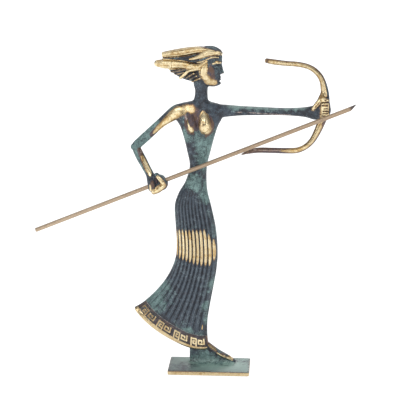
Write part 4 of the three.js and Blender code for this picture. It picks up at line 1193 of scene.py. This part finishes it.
def patinatedBrass():
    # patina of charcoal, slate and green by noise and the green layer; brass where polish passes a noisy edge
    finish = Finish("patinated_brass_casting")
    where, blend = finish.place(), finish.blend
    polish, brown, green, raised, ridge, glossAndPaintedSheen, rubAndGlint = (
        finish.layer(name) for name in ("polish", "brown", "green", "raised", "ridge", "glossAndPaintedSheen", "rubAndGlint"))
    noises = [finish.noise(where, *form) for form in patina["noises"].values()]
    cloud, blotch, grain, fine, flush, sheen = noises
    pits = finish.cells(where, patina["pits"])

    greenness = cover("green", green + (cloud - 0.5) * 0.85 + (blotch - 0.5) * 0.8 + (grain - 0.5) * 0.4)
    slate = cover("slate", blotch + (raised - 0.5) * 0.8 + (grain - 0.5) * 0.6)
    skin = blend(greenness, blend(slate, tints["charcoal"], tints["slate"]), tints["teal"])
    pale = blend(greenness, tints["ash"], tints["verdigris"])
    bloom = cover("bloom", blotch * 0.5 + grain * 0.5 + (cloud - 0.5) * 0.4 + (green - 0.5) * 0.1)
    skin = blend(bloom * (1 - glossAndPaintedSheen * 0.5), skin, pale)
    skin = blend(cover("hollow", raised), skin, tints["charcoal"])
    skin = blend(cover("dark", blotch * 0.35 + grain * 0.65), skin, tints["charcoal"])
    specks = pits.step(0.24, 0.12) * cloud.step(0.42, 0.58)
    skin = blend(specks * 0.85, skin, tints["charcoal"])
    salt = cover("salt", fine * 0.5 + grain * 0.5 + (blotch - 0.5) * 0.2)
    skin = blend(salt * (1 - glossAndPaintedSheen * 0.6), skin, pale)
    # pale ash on pleat crests, the hem's thin line and the arm's top: partly rubbing, partly a painted
    # highlight
    skin = blend(cover("ridge", ridge * (0.5 + grain)), skin, tints["ash"])
    # painted sheen: pale sage over the plate, the wedge and the top of the outstretched arm
    sage = cover("sage", sheen + (blotch - 0.5) * 0.5 + (grain - 0.5) * 0.4)
    skin = blend(glossAndPaintedSheen * sage, skin, tints["sage"])
    skin = blend(cover("violet", flush) * (1 - greenness), skin, tints["violet"])

    # brown halos round the brass, pale pinkish glints
    worn = polish + (blotch - 0.5) * 0.34 + (grain - 0.5) * 0.34 + (raised - 0.5) * 0.4
    bare, rubbed = cover("bare", worn), cover("rubbed", worn)
    halo = cover("halo", worn) * blotch.step(0.44, 0.58)
    brownEdge = cover("brown", brown + (blotch - 0.5) * 0.4 + (grain - 0.5) * 0.5).atLeast(halo)
    hue = cover("brown", cloud + (blotch - 0.5) * 0.9 + (grain - 0.5) * 0.5)
    brownTint = blend(cover("rose", flush), blend(hue, tints["brown"], tints["violet"]), tints["rose"])
    skin = blend(brownEdge * 0.88, skin, brownTint)
    glint = cover("glint", rubAndGlint + (grain - 0.5) * 1.5 + (fine - 0.5) * 1.3)
    skin = blend(glint, skin, blend(cover("glintRose", flush), tints["rubAndGlint"], tints["rose"]))

    # brass: pale and full by noise and on raised faces, a painted highlight there, and deeper at its edges, a
    # painted dark reflection; stained and dented
    full = cover("pale", blotch + (cloud - 0.5) * 0.6 + (raised - 0.5) * 0.5)
    brass = blend(full, tints["brass"], tints["brassPale"])
    stain = cover("stain", flush + (grain - 0.5) * 0.6)
    for amount in (cover("paintedDarkEdge", worn), cover("deepBrown", brown), stain):
        brass = blend(amount, brass, tints["brassDeep"])
    dents = pits.step(0.18, 0.08) * blotch.step(0.48, 0.58)
    brass = blend(dents * 0.9, brass, tints["brown"])

    scratches = finish.noise(finish.mapped(where, Scale=patina["scratches"]), 1.0, 2.0, 0.5)
    metal = bare * (1 - dents * 0.7) + (1 - bare) * (rubbed * 0.6 + brownEdge * 0.55)
    roughPatina = 0.50 + (grain - 0.5) * 0.35 - brownEdge * 0.16 - glossAndPaintedSheen * 0.2
    roughBrass = 0.25 + (scratches - 0.5) * 0.2 + (blotch - 0.5) * 0.2 + stain * 0.15
    sand = (grain * 0.6 + fine * 0.3 + blotch * 0.5 - specks * 0.5) * (1 - bare) * (1 - glossAndPaintedSheen * 0.6)
    height = sand + bare * (scratches * 0.03 + blotch * 0.5 - dents * 0.4)
    rough = roughPatina * (1 - bare) + roughBrass * bare
    finish.put(Base_Color=blend(bare.atLeast(rubbed), skin, brass), Metallic=metal.atMost(1.0),
               Roughness=rough, Normal=finish.bump(height, *patina["bump"]))
    return finish.material


rodFinish = {
    "tilt": 22.07,     # of the rod, in degrees
    "streaks": (60.0, 2600.0, 2600.0), "blotches": (90.0, 260.0, 260.0), "bump": (0.00006, 0.6),
    "dark": (0.32, 0.23, 0.155), "light": (0.48, 0.37, 0.26), "dull": (0.33, 0.245, 0.19),
    "butt": (0.60, 0.48, 0.35), "tip": (0.065, 0.055, 0.06), "tipStart": (0.974, 0.988),
}


def rodBrass():
    # drawn rod: fine lengthwise streaks on coordinates turned to the rod's own axis, dark towards the cut tip
    finish = Finish("drawn_brass_rod")
    along = finish.layer("along")
    turned = finish.mapped(finish.place(), Rotation=(0, math.radians(rodFinish["tilt"]), 0))
    streaks, blotch = (finish.noise(finish.mapped(turned, Scale=rodFinish[name]), 1.0, 3.0, 0.6)
                       for name in ("streaks", "blotches"))
    tip = along.step(*rodFinish["tipStart"])
    tint = finish.blend(streaks.step(0.35, 0.68), rodFinish["dark"], rodFinish["light"])
    tint = finish.blend(blotch.step(0.5, 0.75) * 0.6, tint, rodFinish["dull"])
    tint = finish.blend(along.step(0.55, 0.1) * 0.4, tint, rodFinish["butt"])
    tint = finish.blend(tip * 0.9, tint, rodFinish["tip"])
    finish.put(Base_Color=tint, Metallic=0.85 - tip * 0.4, Roughness=0.42 + (streaks - 0.5) * 0.2 + tip * 0.1,
               Normal=finish.bump(streaks, *rodFinish["bump"]))
    return finish.material


def finished(made, material, sharp):
    # from millimetres to metres, smooth save where faces meet at more than the sharp angle, with its material
    setCoordinates(made.data, coordinates(made.data) * mm)
    made.data.shade_smooth()
    made.data.set_sharp_from_angle(angle=math.radians(sharp))
    made.data.materials.clear()
    made.data.materials.append(material)
    return made


def arrowRod():
    # a round bar: circles carried along the axis, the butt chamfered, the last stretch cut back from below
    start, end = np.array(rod["start"], float), np.array(rod["end"], float)
    length = np.linalg.norm(end - start)
    axis = (end - start) / length
    over = np.array([-axis[2], 0, axis[0]])
    cutStart, thick = length - rod["tip"], rod["radius"]
    turn = turns(rod["around"])
    straight, cut = np.linspace(2, cutStart, 60), np.linspace(cutStart, length, 40)[1:]
    places = np.concatenate([[0, rod["chamfer"]], straight, cut])
    radius = np.where(places < rod["chamfer"] / 2, thick - rod["chamfer"], thick)[:, None]
    up, sideways = radius * np.sin(turn), radius * np.cos(turn)
    # over the cut a chord at height h closes the circle, its points spread evenly between the arc's two ends
    share = np.clip((places - cutStart) / rod["tip"], 0, 1)[:, None]
    height = -thick + share * (2 * thick - rod["edge"])
    first = np.arcsin(height / thick)
    spread = ((turn - math.pi + first) % (2 * math.pi)) / (math.pi + 2 * first + 1e-9)
    below = (up < height - 1e-6) & (share > 0)
    up = np.where(below, height, up)
    sideways = np.where(below, thick * np.cos(first) * (2 * spread - 1), sideways)
    points = start + places[:, None, None] * axis + up[..., None] * over
    points[..., 1] += sideways
    made = inScene("rod", meshFrom("rod", [capped(points)]))
    # the end rings melt into one point each
    work = bmesh.new()
    work.from_mesh(made.data)
    bmesh.ops.remove_doubles(work, verts=work.verts, dist=0.004)
    bmesh.ops.recalc_face_normals(work, faces=work.faces)
    work.to_mesh(made.data)
    work.free()
    setLayer(made.data, "along", (coordinates(made.data) - start) @ axis / length)
    return made


print("casting: shapes")
casting = fusedCasting()
casting.name = casting.data.name = "casting"
paintCasting(casting.data)
finished(casting, patinatedBrass(), fuse["sharp"])
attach(casting, "root")
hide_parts("cast_figure")

print("rod")
arrow = finished(arrowRod(), rodBrass(), rod["sharp"])
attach(arrow, "root")
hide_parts("arrow_rod")


# stage, lights and camera

ground = {"half": 8, "grey": 0.55, "glow": 0.8}
camera = {
    "distance": 1.0, "elevation": 13.0, "azimuth": 3.6, "lens": 135.25, "target": (-0.00643, 0, 0.11797),
}
studio = {
    "worldGrey": (0.82, 0.83, 0.85), "worldStrength": 0.42,
    # area lights: place, aim, width, height, watts
    "lights": {
        "overhead": ((0.0, 0.4, 2.6), (0, 0, 0.1), 4.0, 4.0, 34),
        "back_softbox": ((0.3, 2.4, 1.2), (0, 0, 0.1), 2.6, 1.4, 12),
        "front_softbox": ((-0.35, -1.7, 0.95), (0, 0, 0.12), 1.3, 0.8, 8),
        "left_softbox": ((-1.3, -0.7, 0.5), (0, 0, 0.12), 0.4, 0.9, 3),
        "right_softbox": ((1.2, -1.0, 0.4), (0, 0, 0.12), 0.3, 0.9, 2),
    },
}


def aimed(made, place, aim):
    # put at its place and turned so that it looks at its aim
    made.location = place
    made.rotation_euler = (Vector(aim) - Vector(place)).to_track_quat("-Z", "Y").to_euler()


floorMesh = bpy.data.meshes.new("floor")
corners = [(x * ground["half"], y * ground["half"], 0) for x, y in ((-1, -1), (1, -1), (1, 1), (-1, 1))]
floorMesh.from_pydata(corners, [], [(0, 1, 2, 3)])
floor = inScene("floor", floorMesh)
paper = Finish("pale_floor")
paper.put(Base_Color=(*[ground["grey"]] * 3, 1), Roughness=0.9, Emission_Color=(1, 1, 1, 1),
          Emission_Strength=ground["glow"])
floor.data.materials.append(paper.material)

eye = bpy.data.cameras.new("camera")
eye.lens, eye.sensor_width, eye.clip_end = camera["lens"], 36, 20
view = inScene("camera", eye)
rise, swing = math.radians(camera["elevation"]), math.radians(camera["azimuth"])
back = Vector((math.sin(swing) * math.cos(rise), -math.cos(swing) * math.cos(rise), math.sin(rise)))
aimed(view, Vector(camera["target"]) + back * camera["distance"], camera["target"])
bpy.context.scene.camera = view

world = bpy.data.worlds.new("studio")
world.use_nodes = True
sky = world.node_tree.nodes["Background"].inputs
sky["Color"].default_value, sky["Strength"].default_value = (*studio["worldGrey"], 1), studio["worldStrength"]
bpy.context.scene.world = world
bpy.context.scene.view_settings.view_transform = "Standard"
for name, (place, aim, wide, high, watts) in studio["lights"].items():
    light = bpy.data.lights.new(name, "AREA")
    light.shape = "RECTANGLE"
    light.size, light.size_y, light.energy = wide, high, watts
    aimed(inScene(name, light), place, aim)
print("stage set")
